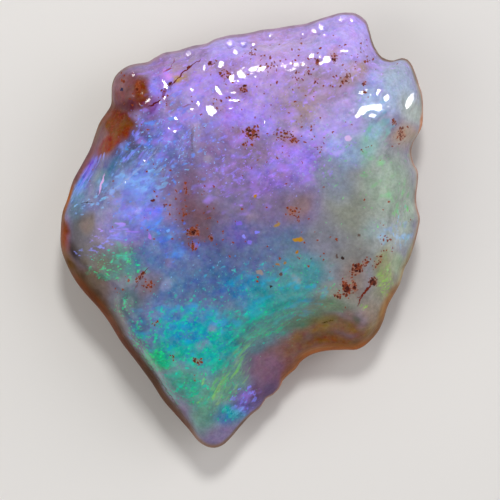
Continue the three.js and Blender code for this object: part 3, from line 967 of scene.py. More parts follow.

# Smaller patches of the body and its pale inclusions, by the places where they show. One is a painted
# highlight,
# # as marked.
DETAILS = (
    Zone((81, 238), (26, 22), 0, "#544e54", 0.75), Zone((72, 250), (9, 13), 0, "#40302c", 0.8),
    Zone((88, 227), (10, 8), 0, "#7c6860", 0.7), Zone((73, 212), (9, 10), 0, "#586a7c", 0.7),
    Zone((99, 164), (10, 12), -20, "#5a4e94", 0.85), Zone((86, 262), (10, 9), 0, "#605440", 0.8),
    Zone((112, 275), (13, 9), 0, "#3c7a70", 0.8), Zone((138, 340), (9, 13), 35, "#565c74", 0.8),
    Zone((190, 350), (38, 16), 0, "#00a0a4", 0.7), Zone((177, 354), (10, 9), 0, "#00a894", 0.8),
    Zone((180, 79), (11, 8), 20, "#b08c6c"), Zone((135, 141), (24, 17), 25, "#564f78", 0.8),
    Zone((151, 147), (12, 12), 0, "#62669e", 0.6), Zone((242, 132), (10, 9), 0, "#8c6478", 0.8),
    Zone((268, 132), (9, 8), 0, "#b098f4", 0.8), Zone((228, 67), (25, 9), 8, "#a4829c", 0.75),
    Zone((243, 93), (13, 9), 0, "#986c88", 0.8), Zone((217, 106), (13, 12), 0, "#a080a0", 0.7),
    Zone((171, 106), (14, 10), 0, "#8a7298", 0.8), Zone((255, 41), (12, 8), 0, "#b48cac", 0.8),
    Zone((203, 54), (10, 9), 0, "#9076a4", 0.8), Zone((291, 142), (14, 8), -15, "#a07c84", 0.7),
    Zone((359, 68), (13, 11), 0, "#a88c90", 0.8), Zone((281, 171), (12, 10), 0, "#9072a8", 0.7),
    Zone((125, 197), (11, 8), 0, "#6a769c", 0.8), Zone((352, 328), (13, 8), 0, "#845a20", 0.8),
    Zone((243, 405), (9, 9), 0, "#505080", 0.7), Zone((170, 184), (13, 14), 0, "#745a88", 0.8),
    Zone((191, 242), (12, 14), 0, "#644448", 0.75), Zone((203, 236), (9, 9), 0, "#6e5058", 0.8),
    Zone((372, 132), (12, 11), 0, "#86b4d0", 0.8), Zone((294, 93), (10, 9), 0, "#b49ed4", 0.8),
    Zone((333, 145), (13, 9), 0, "#a8a6f0", 0.8), Zone((255, 171), (10, 9), 0, "#866eac", 0.6),
    Zone((155, 84), (6, 12), -20, "#8c88f4", 0.8), Zone((166, 74), (4, 9), 5, "#dc90fc"),
    Zone((101, 137), (9, 15), -25, "#78463e", 0.85), Zone((138, 131), (10, 8), 0, "#6a4c5c", 0.8),
    Zone((124, 222), (13, 9), 0, "#667090", 0.9), Zone((92, 250), (15, 8), 0, "#5a5650", 0.7),
    Zone((307, 133), (10, 9), 0, "#b8a2f4", 0.8), Zone((138, 262), (10, 9), 0, "#5a84ac", 0.7),
    Zone((178, 80), (10, 7), 0, "#b28a50", 0.7), Zone((131, 151), (20, 13), 20, "#4c4a6e", 0.6),
    Zone((151, 146), (12, 12), 0, "#5c5c90", 0.6), Zone((101, 250), (14, 8), 0, "#5a525e", 0.6),
    Zone((126, 132), (8, 8), 0, "#8a3400", 0.8), Zone((74, 249), (8, 10), 0, "#281814", 0.7),
    # Zone((372, 105)) is a painted highlight: pale bluish white round the crescent glint.
    Zone((372, 105), (13, 8), 0, "#ccd8fe", 0.8), Zone((281, 171), (11, 9), 0, "#84689c", 0.6),
    Zone((242, 405), (9, 8), 0, "#484474", 0.6), Zone((295, 131), (10, 8), 0, "#be9cdc", 0.7),
    Zone((138, 210), (12, 8), 0, "#989cff", 0.8), Zone((125, 237), (14, 7), 0, "#747ee0", 0.7),
    Zone((333, 54), (10, 9), 0, "#b08c9c", 0.7), Zone((256, 391), (10, 9), 0, "#6a4a60", 0.7),
    Zone((255, 191), (10, 12), 0, "#7a647c", 0.7), Zone((177, 107), (11, 8), 0, "#84709a", 0.6),
    Zone((164, 365), (9, 8), 0, "#0cb87c", 0.7), Zone((398, 262), (9, 9), 0, "#9cb488", 0.7),
    Zone((178, 353), (9, 8), 0, "#00b494", 0.6), Zone((203, 354), (9, 8), 0, "#00b0a8", 0.6),
    Zone((360, 67), (11, 9), 0, "#a88a84", 0.6), Zone((151, 118), (10, 9), 0, "#6e5c8c", 0.6),
    Zone((118, 125), (12, 15), -20, "#783600", 0.85, 0.5),
    Zone((106, 142), (6, 11), -36, "#8c3a04", 0.85, 0.4),
    Zone((119, 149), (10, 7), 30, "#5a5884", 0.8, 0.3), Zone((165, 285), (6, 10), 25, "#8e9cc0", 0.8, 0.4),
    Zone((213, 328), (5, 6), 0, "#8c94b4", 0.8, 0.4), Zone((202, 345), (7, 6), 0, "#7898b0", 0.7, 0.4),
    Zone((297, 280), (4, 5), 0, "#8c9aa0", 0.7, 0.4), Zone((168, 262), (5, 7), 0, "#8c7c9c", 0.6),
    Zone((249, 215), (6, 6), 0, "#9c88a0", 0.6), Zone((208, 158), (6, 5), 0, "#a094b0", 0.5),
)

# The rust-stained parts, the end of the crack and the broken corner, without fire and almost without gloss.
DULL = (
    Patch((118, 126), (21, 20), 30), Patch((105, 143), (17, 9), 52), Patch((129, 90), (20, 23), 0),
    Patch((149, 102), (7, 6), -20), Patch((325, 333), (48, 20), 6), Patch((376, 322), (22, 26), 15),
    Patch((278, 384), (30, 16), 45),
)

# The potch, the plain opal under the fire, where it shows inside the rim. Its bands are partly painted shade,
# # darker where the surface rolls away from the light.
POTCH_AND_RIM_SHADE = (
    Band((150, 370), (90, 120), 30, "#4c2c18", 0.7), Band((88, 290), (30, 56), 30, "#54381c", 1.0),
    Band((84, 160), (22, 34), -28, "#845458", 0.5), Band((108, 115), (16, 24), -20, "#7a4638", 0.45),
    Band((116, 82), (14, 18), 0, "#8a6470", 0.3), Band((330, 356), (76, 30), 8, "#a0601c", 0.6),
    Band((290, 378), (26, 26), 45, "#84523c", 0.6), Band((392, 312), (30, 46), -20, "#9c7444", 0.6),
    Band((404, 262), (18, 30), -15, "#a0a080", 0.4), Band((268, 400), (24, 20), 45, "#7a5c6c", 0.2),
    Band((214, 446), (34, 20), 0, "#8c7470", 0.35), Band((260, 34), (180, 26), 10, "#a88aa8", 0.25),
    Band((420, 150), (20, 130), 0, "#a4a49a", 0.3),
)

# The amber line along the outline, which goes on down the sides. It is partly painted light: a painted glow of
# # light shining through the thin edge, kept dark as painted shade on the steep sides.
AMBER_EDGE_GLOW_AND_SHADE = (
    Band((150, 370), (90, 120), 30, "#602800", 0.42), Band((158, 388), (30, 50), 30, "#542c04", 0.5),
    Band((92, 298), (30, 44), 30, "#6c3200", 0.55), Band((66, 238), (12, 22), 0, "#843800", 0.7),
    Band((68, 262), (12, 12), 0, "#64400c", 0.5), Band((330, 356), (76, 30), 8, "#b05e10", 0.3),
    Band((290, 378), (26, 26), 45, "#a86430", 0.2), Band((392, 312), (30, 46), -20, "#905c24", 0.3),
    Band((404, 262), (18, 30), -15, "#a08c68", 0.2), Band((266, 400), (26, 20), 45, "#b88c7c", 0.1),
    Band((214, 446), (34, 20), 0, "#8c6854", 0.2), Band((260, 34), (180, 26), 10, "#a88ca4", 0.1),
    Band((420, 150), (20, 130), 0, "#b08878", 0.14), Band((418, 122), (12, 14), 0, "#cc8e6c", 0.3),
    Band((70, 200), (10, 26), -15, "#9c5410", 0.25), Band((84, 160), (22, 34), -28, "#744850", 0.2),
    Band((108, 115), (16, 24), -20, "#703c28", 0.2),
)

# The play of colour, from broad clouds to pinfire and streaks. Real pinfire goes down to 0.1 mm, which is
# too fine to show in the render, so its grains are drawn at 0.2 mm.
LATTICES = (
    Lattice("violet_clouds", (1.2, 0.8), 15, 0.5, 0.26, (
        FireZone((280, 70), (150, 60), 8, Fire.LILAC, 0.3),
        FireZone((180, 88), (40, 34), 0, Fire.VIOLET, 0.4),
        FireZone((215, 112), (60, 36), 0, Fire.VIOLET, 0.35),
        FireZone((335, 130), (40, 24), 10, Fire.LILAC, 0.4),
        FireZone((296, 164), (34, 28), 0, Fire.VIOLET, 0.45),
        FireZone((235, 185), (44, 40), 0, Fire.VIOLET, 0.22),
        FireZone((171, 75), (5, 10), 5, Fire.ROSE, 0.85),
        FireZone((150, 142), (46, 40), 0, Fire.PERIWINKLE, 0.2),
        FireZone((165, 128), (24, 22), 0, Fire.VIOLET, 0.3),
        FireZone((134, 187), (32, 20), 0, Fire.SKY, 0.5),
        FireZone((140, 216), (30, 24), 0, Fire.PERIWINKLE, 0.55),
        FireZone((172, 242), (24, 24), 0, Fire.BLUE, 0.22),
        FireZone((185, 325), (60, 30), 0, Fire.CYAN, 0.35),
        FireZone((385, 170), (30, 30), 0, Fire.LEAF, 0.05),
        FireZone((397, 238), (22, 20), 0, Fire.SKY, 0.3),
        FireZone((244, 398), (16, 14), 0, Fire.VIOLET, 0.3),
    )),
    Lattice("green_clouds", (0.95, 0.6), 30, 0.45, 0.24, (
        FireZone((188, 330), (60, 34), 0, Fire.TEAL, 0.2),
        FireZone((112, 268), (34, 22), 0, Fire.TEAL, 0.12),
        FireZone((164, 359), (26, 12), -25, Fire.GREEN, 0.5),
        FireZone((216, 360), (40, 14), 18, Fire.TEAL, 0.4),
        FireZone((190, 388), (30, 24), 0, Fire.TEAL, 0.3),
        FireZone((284, 306), (60, 26), 34, Fire.TEAL, 0.25),
        FireZone((250, 334), (50, 20), 34, Fire.TEAL, 0.3),
        FireZone((270, 285), (50, 26), 0, Fire.CYAN, 0.2),
        FireZone((376, 120), (20, 30), 0, Fire.CYAN, 0.3),
        FireZone((366, 158), (20, 34), 0, Fire.LEAF, 0.05),
        FireZone((398, 205), (18, 30), 0, Fire.LEAF, 0.1),
        FireZone((386, 280), (10, 22), -10, Fire.LIME, 0.25),
    )),
    Lattice("violet_flakes", (0.75, 0.45), 20, 0.6, 0.12, (
        FireZone((280, 70), (140, 60), 8, Fire.LILAC, 0.1),
        FireZone((180, 90), (40, 34), 0, Fire.VIOLET, 0.2),
        FireZone((262, 150), (100, 50), 0, Fire.VIOLET, 0.09),
        FireZone((300, 166), (24, 20), 0, Fire.VIOLET, 0.35),
        FireZone((236, 188), (32, 30), 0, Fire.VIOLET, 0.1),
        FireZone((150, 150), (50, 44), 0, Fire.BLUE, 0.1),
        FireZone((134, 186), (34, 18), 10, Fire.SKY, 0.3),
        FireZone((142, 216), (26, 20), 0, Fire.PERIWINKLE, 0.3),
        FireZone((176, 236), (28, 24), 0, Fire.BLUE, 0.12),
    )),
    Lattice("grains", (0.42, 0.32), 35, 0.7, 0.12, (
        FireZone((280, 70), (150, 60), 8, Fire.LILAC, 0.08),
        FireZone((262, 150), (110, 60), 0, Fire.VIOLET, 0.06),
        FireZone((160, 140), (50, 50), 0, Fire.PERIWINKLE, 0.1),
        FireZone((150, 215), (46, 50), 0, Fire.BLUE, 0.07),
        FireZone((225, 285), (100, 40), 0, Fire.BLUE, 0.05),
        FireZone((112, 270), (30, 22), 0, Fire.GREEN, 0.04),
        FireZone((125, 304), (10, 9), 0, Fire.GREEN, 0.14),
        FireZone((142, 334), (14, 24), 0, Fire.TEAL, 0.1),
        FireZone((188, 336), (66, 40), 0, Fire.TEAL, 0.14),
        FireZone((164, 359), (26, 15), -25, Fire.GREEN, 0.25),
        FireZone((216, 362), (36, 13), 18, Fire.GREEN, 0.2),
        FireZone((192, 390), (34, 24), 0, Fire.TEAL, 0.14),
        FireZone((262, 330), (62, 26), 34, Fire.TEAL, 0.12),
        FireZone((304, 288), (60, 26), 0, Fire.TEAL, 0.05),
        FireZone((230, 408), (14, 12), 0, Fire.TEAL, 0.4),
        FireZone((244, 396), (14, 14), 0, Fire.PERIWINKLE, 0.25),
        FireZone((400, 205), (12, 24), 0, Fire.LEAF, 0.1),
        FireZone((387, 282), (8, 18), -10, Fire.LIME, 0.12),
        FireZone((364, 305), (7, 5), 0, Fire.LIME, 0.6), FireZone((396, 236), (22, 22), 0, Fire.SKY, 0.06),
    )),
    Lattice("pinfire", (0.2, 0.17), 35, 0.8, 0.08, (
        FireZone((260, 200), (300, 300), 0, Fire.LILAC, 0.006),
        FireZone((280, 70), (150, 60), 8, Fire.LILAC, 0.06),
        FireZone((262, 150), (110, 60), 0, Fire.VIOLET, 0.07),
        FireZone((160, 140), (50, 50), 0, Fire.SKY, 0.06),
        FireZone((225, 285), (100, 40), 0, Fire.SKY, 0.03),
        FireZone((112, 268), (32, 22), 0, Fire.GREEN, 0.05),
        FireZone((125, 304), (14, 12), 0, Fire.GREEN, 0.1),
        FireZone((142, 334), (14, 24), 0, Fire.GREEN, 0.12),
        FireZone((188, 340), (66, 36), 0, Fire.GREEN, 0.06),
        FireZone((164, 359), (26, 15), -25, Fire.GREEN, 0.15),
        FireZone((205, 388), (44, 26), 0, Fire.GREEN, 0.08),
        FireZone((262, 330), (62, 26), 34, Fire.GREEN, 0.06),
        FireZone((304, 288), (60, 26), 0, Fire.GREEN, 0.03),
        FireZone((374, 200), (50, 80), 0, Fire.LEAF, 0.015),
        FireZone((387, 282), (8, 18), -10, Fire.LIME, 0.1),
    )),
    Lattice("level_streaks", (2.4, 0.3), 4, 0.7, 0.14, (
        FireZone((112, 239), (36, 9), 4, Fire.LILAC, 0.16),
        FireZone((120, 236), (18, 7), 0, Fire.VIOLET, 0.42),
        FireZone((104, 246), (36, 7), 6, Fire.PERIWINKLE, 0.3),
        FireZone((96, 206), (26, 12), 10, Fire.SKY, 0.2),
    )),
    Lattice("short_streaks", (0.85, 0.2), 6, 0.85, 0.1, (
        FireZone((110, 268), (30, 18), 0, Fire.GREEN, 0.1),
        FireZone((104, 254), (30, 8), 0, Fire.TEAL, 0.06),
    )),
    Lattice("steep_streaks", (1.3, 0.36), 58, 0.7, 0.16, (
        FireZone((92, 168), (8, 24), -28, Fire.VIOLET, 0.5),
        FireZone((77, 190), (8, 16), -15, Fire.SKY, 0.6),
        FireZone((140, 150), (50, 40), 0, Fire.PERIWINKLE, 0.12),
        FireZone((208, 389), (20, 7), 58, Fire.LIME, 0.5),
        FireZone((236, 372), (40, 14), 42, Fire.LEAF, 0.14),
        FireZone((364, 150), (14, 34), -20, Fire.LEAF, 0.05),
        FireZone((396, 206), (16, 30), 0, Fire.LEAF, 0.1),
    )),
    Lattice("slanting_streaks", (1.3, 0.34), 38, 0.35, 0.22, (
        FireZone((270, 314), (50, 14), 36, Fire.TEAL, 0.25),
        FireZone((256, 346), (40, 12), 38, Fire.GREEN, 0.2),
        FireZone((146, 170), (44, 20), 38, Fire.SKY, 0.12),
        FireZone((226, 384), (32, 12), 44, Fire.LIME, 0.22),
    )),
)

# Rust specks: small clusters first, then broad faint ones.
RUST = (
    RustCluster((211, 63), (6, 4), 0, 0.95), RustCluster((226, 75), (10, 9), 30, 0.75),
    RustCluster((244, 88), (7, 7), 0, 1.0), RustCluster((219, 104), (7, 10), 0, 0.5),
    RustCluster((252, 133), (11, 7), -20, 1.25), RustCluster((245, 145), (4, 4), 0, 0.9),
    RustCluster((286, 136), (17, 9), -20, 0.7), RustCluster((294, 141), (6, 4), 0, 1.1),
    RustCluster((318, 62), (5, 6), 0, 1.0), RustCluster((334, 58), (4, 8), 0, 1.05),
    RustCluster((345, 80), (13, 5), 52, 0.95), RustCluster((364, 83), (4, 3), 0, 1.0),
    RustCluster((364, 92), (4, 3), 0, 1.05), RustCluster((316, 80), (4, 6), 0, 0.8),
    RustCluster((308, 73), (4, 4), 0, 0.8), RustCluster((300, 76), (8, 12), 0, 0.45),
    RustCluster((268, 65), (13, 14), 0, 0.45), RustCluster((252, 51), (9, 6), 0, 0.5),
    RustCluster((320, 147), (7, 6), 0, 0.6), RustCluster((401, 134), (8, 12), -20, 0.9),
    RustCluster((394, 122), (4, 5), 0, 1.0), RustCluster((364, 149), (6, 5), 0, 0.6),
    RustCluster((185, 190), (4, 10), 0, 0.7), RustCluster((205, 192), (4, 8), 0, 0.6),
    RustCluster((184, 213), (6, 12), 0, 0.6), RustCluster((193, 232), (10, 8), 0, 1.05),
    RustCluster((194, 246), (7, 6), 0, 1.0), RustCluster((211, 238), (4, 4), 0, 1.0),
    RustCluster((208, 212), (9, 10), 0, 0.42), RustCluster((292, 211), (9, 7), -30, 0.95),
    RustCluster((298, 220), (4, 5), 0, 0.7), RustCluster((140, 277), (4, 10), -40, 0.9),
    RustCluster((148, 285), (8, 9), 0, 0.7), RustCluster((116, 290), (9, 4), -10, 0.6),
    RustCluster((155, 323), (5, 3), 20, 0.9), RustCluster((197, 361), (9, 5), -25, 0.9),
    RustCluster((173, 358), (4, 3), 0, 0.8), RustCluster((195, 379), (3, 4), 0, 0.8),
    RustCluster((346, 288), (6, 11), 10, 1.35), RustCluster((354, 286), (4, 10), 10, 1.3),
    RustCluster((338, 296), (5, 5), 0, 1.1), RustCluster((357, 269), (9, 8), 45, 1.15),
    RustCluster((365, 262), (6, 6), 0, 0.95), RustCluster((373, 282), (6, 6), -20, 1.5),
    RustCluster((378, 262), (5, 16), -28, 0.75), RustCluster((388, 242), (14, 12), 0, 0.42),
    RustCluster((138, 86), (5, 12), 0, 0.85), RustCluster((126, 78), (9, 9), 0, 0.45),
    RustCluster((362, 58), (14, 18), 0, 0.3), RustCluster((136, 100), (14, 8), 0, 0.4),
    RustCluster((165, 95), (8, 12), 0, 0.5), RustCluster((118, 122), (20, 20), 0, 0.35),
    RustCluster((290, 74), (110, 40), 8, 0.1), RustCluster((300, 130), (70, 40), 0, 0.06),
    RustCluster((312, 250), (60, 50), 0, 0.04), RustCluster((170, 205), (50, 60), 0, 0.05),
    RustCluster((225, 235), (30, 30), 0, 0.08), RustCluster((260, 190), (300, 170), 0, 0.01),
)

# Cracks and scratches first, then amber, dark and pale inclusions.
MARKS = (
    Mark((184, 71), 20, 0.75, 43, 0.1, "#6a1c12"), Mark((170, 83.5), 2.2, 1.2, 60, 0.0, "#54100c"),
    Mark((155, 103), 7, 0.9, 30, -0.1, "#5c181c"), Mark((164, 91), 7, 1.6, 70, 0.15, "#78283c", 0.7),
    Mark((167, 68.5), 5, 0.6, 18, 0.0, "#9c3c60"), Mark((172, 62), 5, 0.5, 68, 0.0, "#8c4060", 0.8),
    Mark((86, 202.5), 6, 0.4, 4, -0.05, "#3a3c50"), Mark((143, 273), 8, 0.6, 50, 0.15, "#5a1c14"),
    Mark((137, 286), 6, 0.4, 62, 0.0, "#6a4448", 0.7), Mark((366, 292), 9, 1.0, 45, -0.15, "#701c08"),
    Mark((361, 300), 6, 0.8, 68, 0.0, "#701c08"), Mark((192, 139), 12, 1.1, 88, 0.05, "#5c4c5e", 0.5),
    Mark((325, 323.5), 3, 0.6, 18, 0.0, "#4c3808"), Mark((332, 321.5), 2.4, 0.6, 12, 0.0, "#5c4810"),
    Mark((186, 105.5), 5, 0.5, 12, 0.2, "#8c5c64", 0.7), Mark((101, 184), 9, 1.1, 74, 0.0, "#e0b4f4"),
    Mark((136, 172), 34, 0.5, 42, -0.1, "#b0b4dc", 0.4), Mark((298.5, 239.5), 4.6, 2.2, 5, 0.0, "#b08018"),
    Mark((277, 225), 3.4, 1.6, 40, 0.0, "#a88428", 0.8), Mark((255, 196), 1.6, 1.6, 0, 0.0, "#b08010"),
    Mark((297, 252), 1.2, 1.6, 0, 0.0, "#a0701c"), Mark((277.5, 264.5), 2.2, 1.1, -20, 0.0, "#a07030", 0.9),
    Mark((285, 263), 1.8, 1.2, 20, 0.0, "#9c7434", 0.9),
    Mark((259.5, 272.5), 4, 2, -20, 0.0, "#a89080", 0.7), Mark((271, 287), 1.4, 1.2, 0, 0.0, "#28282c"),
    Mark((343, 258), 1.5, 1.3, -40, 0.0, "#30201c"), Mark((359, 235.5), 1.5, 1.4, 0, 0.0, "#5c4438", 0.8),
    Mark((337, 256.5), 1.4, 1.4, 0, 0.0, "#54382c", 0.8),
    Mark((281, 274.5), 1.7, 1.4, 0, 0.0, "#5c3c38", 0.9),
    Mark((311, 258), 1.0, 1.0, 0, 0.0, "#3c4c54", 0.8), Mark((120.7, 88.5), 1.9, 1.6, 90, 0.0, "#2a2c50"),
    Mark((153, 200.5), 1.8, 1.5, 0, 0.0, "#5a2020"), Mark((164, 205.5), 1.3, 1.5, 0, 0.0, "#5c2c3c", 0.8),
    Mark((159, 382), 34, 0.7, -56, 0.0, "#3c3434", 0.7), Mark((314.5, 30), 4, 5, 0, 0.0, "#b898b8", 0.3),
    Mark((207.5, 159), 4.6, 3, 10, 0.0, "#a49cb4", 0.35),
    Mark((150, 236.5), 1.4, 3, 10, 0.0, "#b878e8", 0.8),
    Mark((347.8, 138.4), 3, 2.2, 0, 0.0, "#e4c0f0", 0.8), Mark((168, 231), 2, 1.6, 0, 0.0, "#78b0fc", 0.9),
    Mark((257, 232), 1.6, 1.4, 0, 0.0, "#8484fc", 0.9), Mark((244, 237), 1.7, 1.5, 0, 0.0, "#9090fc", 0.95),
    Mark((239, 223.5), 2.4, 2.2, 0, 0.0, "#8068e8", 0.7),
    Mark((250, 242), 2.2, 1.8, 0, 0.0, "#8478f0", 0.8),
)


@dataclass(frozen=True)
class ColourFields:
    """The slow changes of colour and gloss, kept as attributes of the mesh.

    Places are swayed by noise first, by sizes and reaches in mm, so that no patch has a drawn edge. A core
    is the part of a patch at full strength. A zone's fire colour gives way over fire_reach, in half-widths.
    The noise that strews the fire has the spread noise_spread, and its levels are worked out at
    level_samples shares, the least of them least_share.
    """

    sways: tuple[Pair, ...] = ((3.4, 0.75), (0.8, 0.25))
    body: str = "#8a7ba3"
    # The potch and amber grounds are dark partly as painted shade on the sides and back, and the amber partly
    # as a painted glow through the thin edge.
    potch_and_rim_shade: str = "#8a7468"
    potch_and_rim_shade_width: float = 0.25
    amber: str = "#7c5c48"
    amber_width: float = 0.15
    fire_reach: Pair = (0.7, 2.0)
    noise_spread: float = 0.1
    level_samples: int = 400
    least_share: float = 0.00003
    fire_core: float = 0.35
    dull_core: float = 0.6
    stain_core: float = 0.3

    def sway(self, points: Array) -> Array:
        """Moves points by every sway in turn.

        Args:
            points: The points, in mm.

        Returns:
            The moved points.
        """
        for size, reach in self.sways:
            points = swayed(points, size, reach)
        return points

    def shown(self, patch: Patch) -> Patch:
        """Moves a patch so that the sways bring it back to its own place."""
        x, y, _ = self.sway(np.array([(*place(patch.at), SHARP_HEIGHT)]))[0]
        return replace(patch, at=drawn(x, y))

    def colours(self, where: Array, ground: str, patches: tuple[Patch, ...]) -> Array:
        """Lays patches of colour over a ground, in order.

        Args:
            where: The places, in mm.
            ground: The colour under the patches.
            patches: The patches, each with a colour.

        Returns:
            Linear red, green, blue and alpha at each place.
        """
        colour = np.tile(linear(ground), (len(where), 1))
        for patch in patches:
            share = patch.strength * patch.weight(where, patch.core)
            colour = mix(colour, np.array(linear(patch.colour)), share[:, None])
        return colour

    def width(self, where: Array, ground: float, bands: tuple[Band, ...]) -> Array:
        """How far in from the outline a rim colour reaches.

        Args:
            where: The places, in mm.
            ground: The reach where there is no band, in mm.
            bands: The stretches of the rim.

        Returns:
            The reach in mm at each place.
        """
        width = np.full(len(where), ground)
        for band in bands:
            width = mix(width, band.width, band.weight(where, band.core))
        return width

    def fire(self, where: Array, lattice: Lattice) -> Array:
        """The fire of one lattice.

        Args:
            where: The places, in mm.
            lattice: The lattice.

        Returns:
            The linear colour of its lit grains, with the noise level above which they are lit as alpha.
        """
        colour = np.tile(linear(lattice.zones[0].fire.value)[:3], (len(where), 1))
        share = np.zeros(len(where))
        for zone in lattice.zones:
            near = 1 - rise(*self.fire_reach, zone.reach(where[:, 0], where[:, 1]))
            colour = mix(colour, np.array(linear(zone.fire.value)[:3]), near[:, None])
            share = mix(share, zone.share, zone.weight(where, self.fire_core))
        return np.column_stack([colour, self.level(share * (1 - self.dullness(where)))])

    def level(self, share: Array) -> Array:
        """The level that a share of the noise lies above.

        Args:
            share: The share, from 0 to 1.

        Returns:
            The level, on the noise's own scale.
        """
        shares = np.linspace(self.least_share, 1 - self.least_share, self.level_samples)
        spread = NormalDist(0.5, self.noise_spread)
        return np.interp(share, shares, [spread.inv_cdf(1 - each) for each in shares])

    def dullness(self, where: Array) -> Array:
        """1 in the parts without fire, falling to 0 outside them."""
        return np.max([patch.weight(where, self.dull_core) for patch in DULL], axis=0)

    def stain(self, where: Array) -> Array:
        """How thick the rust stands."""
        return np.max([rust.thickness * rust.weight(where, self.stain_core) for rust in RUST], axis=0)

    def write(self, mesh: bpy.types.Mesh) -> None:
        """Writes every field into a mesh.

        Args:
            mesh: The mesh, in metres.
        """
        points = np.empty(3 * len(mesh.vertices), dtype=np.float32)
        mesh.vertices.foreach_get("co", points)
        still = as_drawn(points.reshape(-1, 3) / MM)
        where = self.sway(still)
        colours = {
            "body": self.colours(where, self.body, (*BODY, *map(self.shown, DETAILS))),
            # The potch and amber colours carry painted shade at the rim, and the amber a painted glow of light
            # through the thin edge.
            "potch_and_rim_shade": self.colours(where, self.potch_and_rim_shade, POTCH_AND_RIM_SHADE),
            "amber": self.colours(where, self.amber, AMBER_EDGE_GLOW_AND_SHADE),
        }
        colours |= {lattice.name: self.fire(where, lattice) for lattice in LATTICES}
        values = {
            "potch_and_rim_shade_width": self.width(where, self.potch_and_rim_shade_width, POTCH_AND_RIM_SHADE),
            "amber_width": self.width(where, self.amber_width, AMBER_EDGE_GLOW_AND_SHADE),
            "stain": self.stain(still),
            "dull": self.dullness(where),
        }
        for name, colour in colours.items():
            mesh.attributes.new(name, "FLOAT_COLOR", "POINT").data.foreach_set("color", colour.ravel())
        for name, value in values.items():
            mesh.attributes.new(name, "FLOAT", "POINT").data.foreach_set("value", value)


@dataclass(frozen=True)
class RustLook:
    """How iron stain looks, by its thickness: a halo, fine dots and, where it is thick, dark blots.

    Sizes are in mm. The halo and the blots have the levels at which they start and are full. A dot's radius
    is a share of the dot spacing: a part that grows with the thickness, a least part and a part drawn by
    lot.
    """

    grain: float = 0.3
    halo: Pair = (0.22, 0.62)
    halo_strength: float = 0.8
    blot: Pair = (1.06, 1.17)
    blot_growth: float = 0.55
    dot_spacing: float = 0.22
    dot_chance: float = 1.1
    dot_growth: float = 0.17
    dot_least: float = 0.11
    dot_lot: float = 0.28
    dot_softness: float = 0.1
    halo_colour: str = "#a8603c"
    thin_colour: str = "#8c3c1c"
    thick_colour: str = "#400e06"


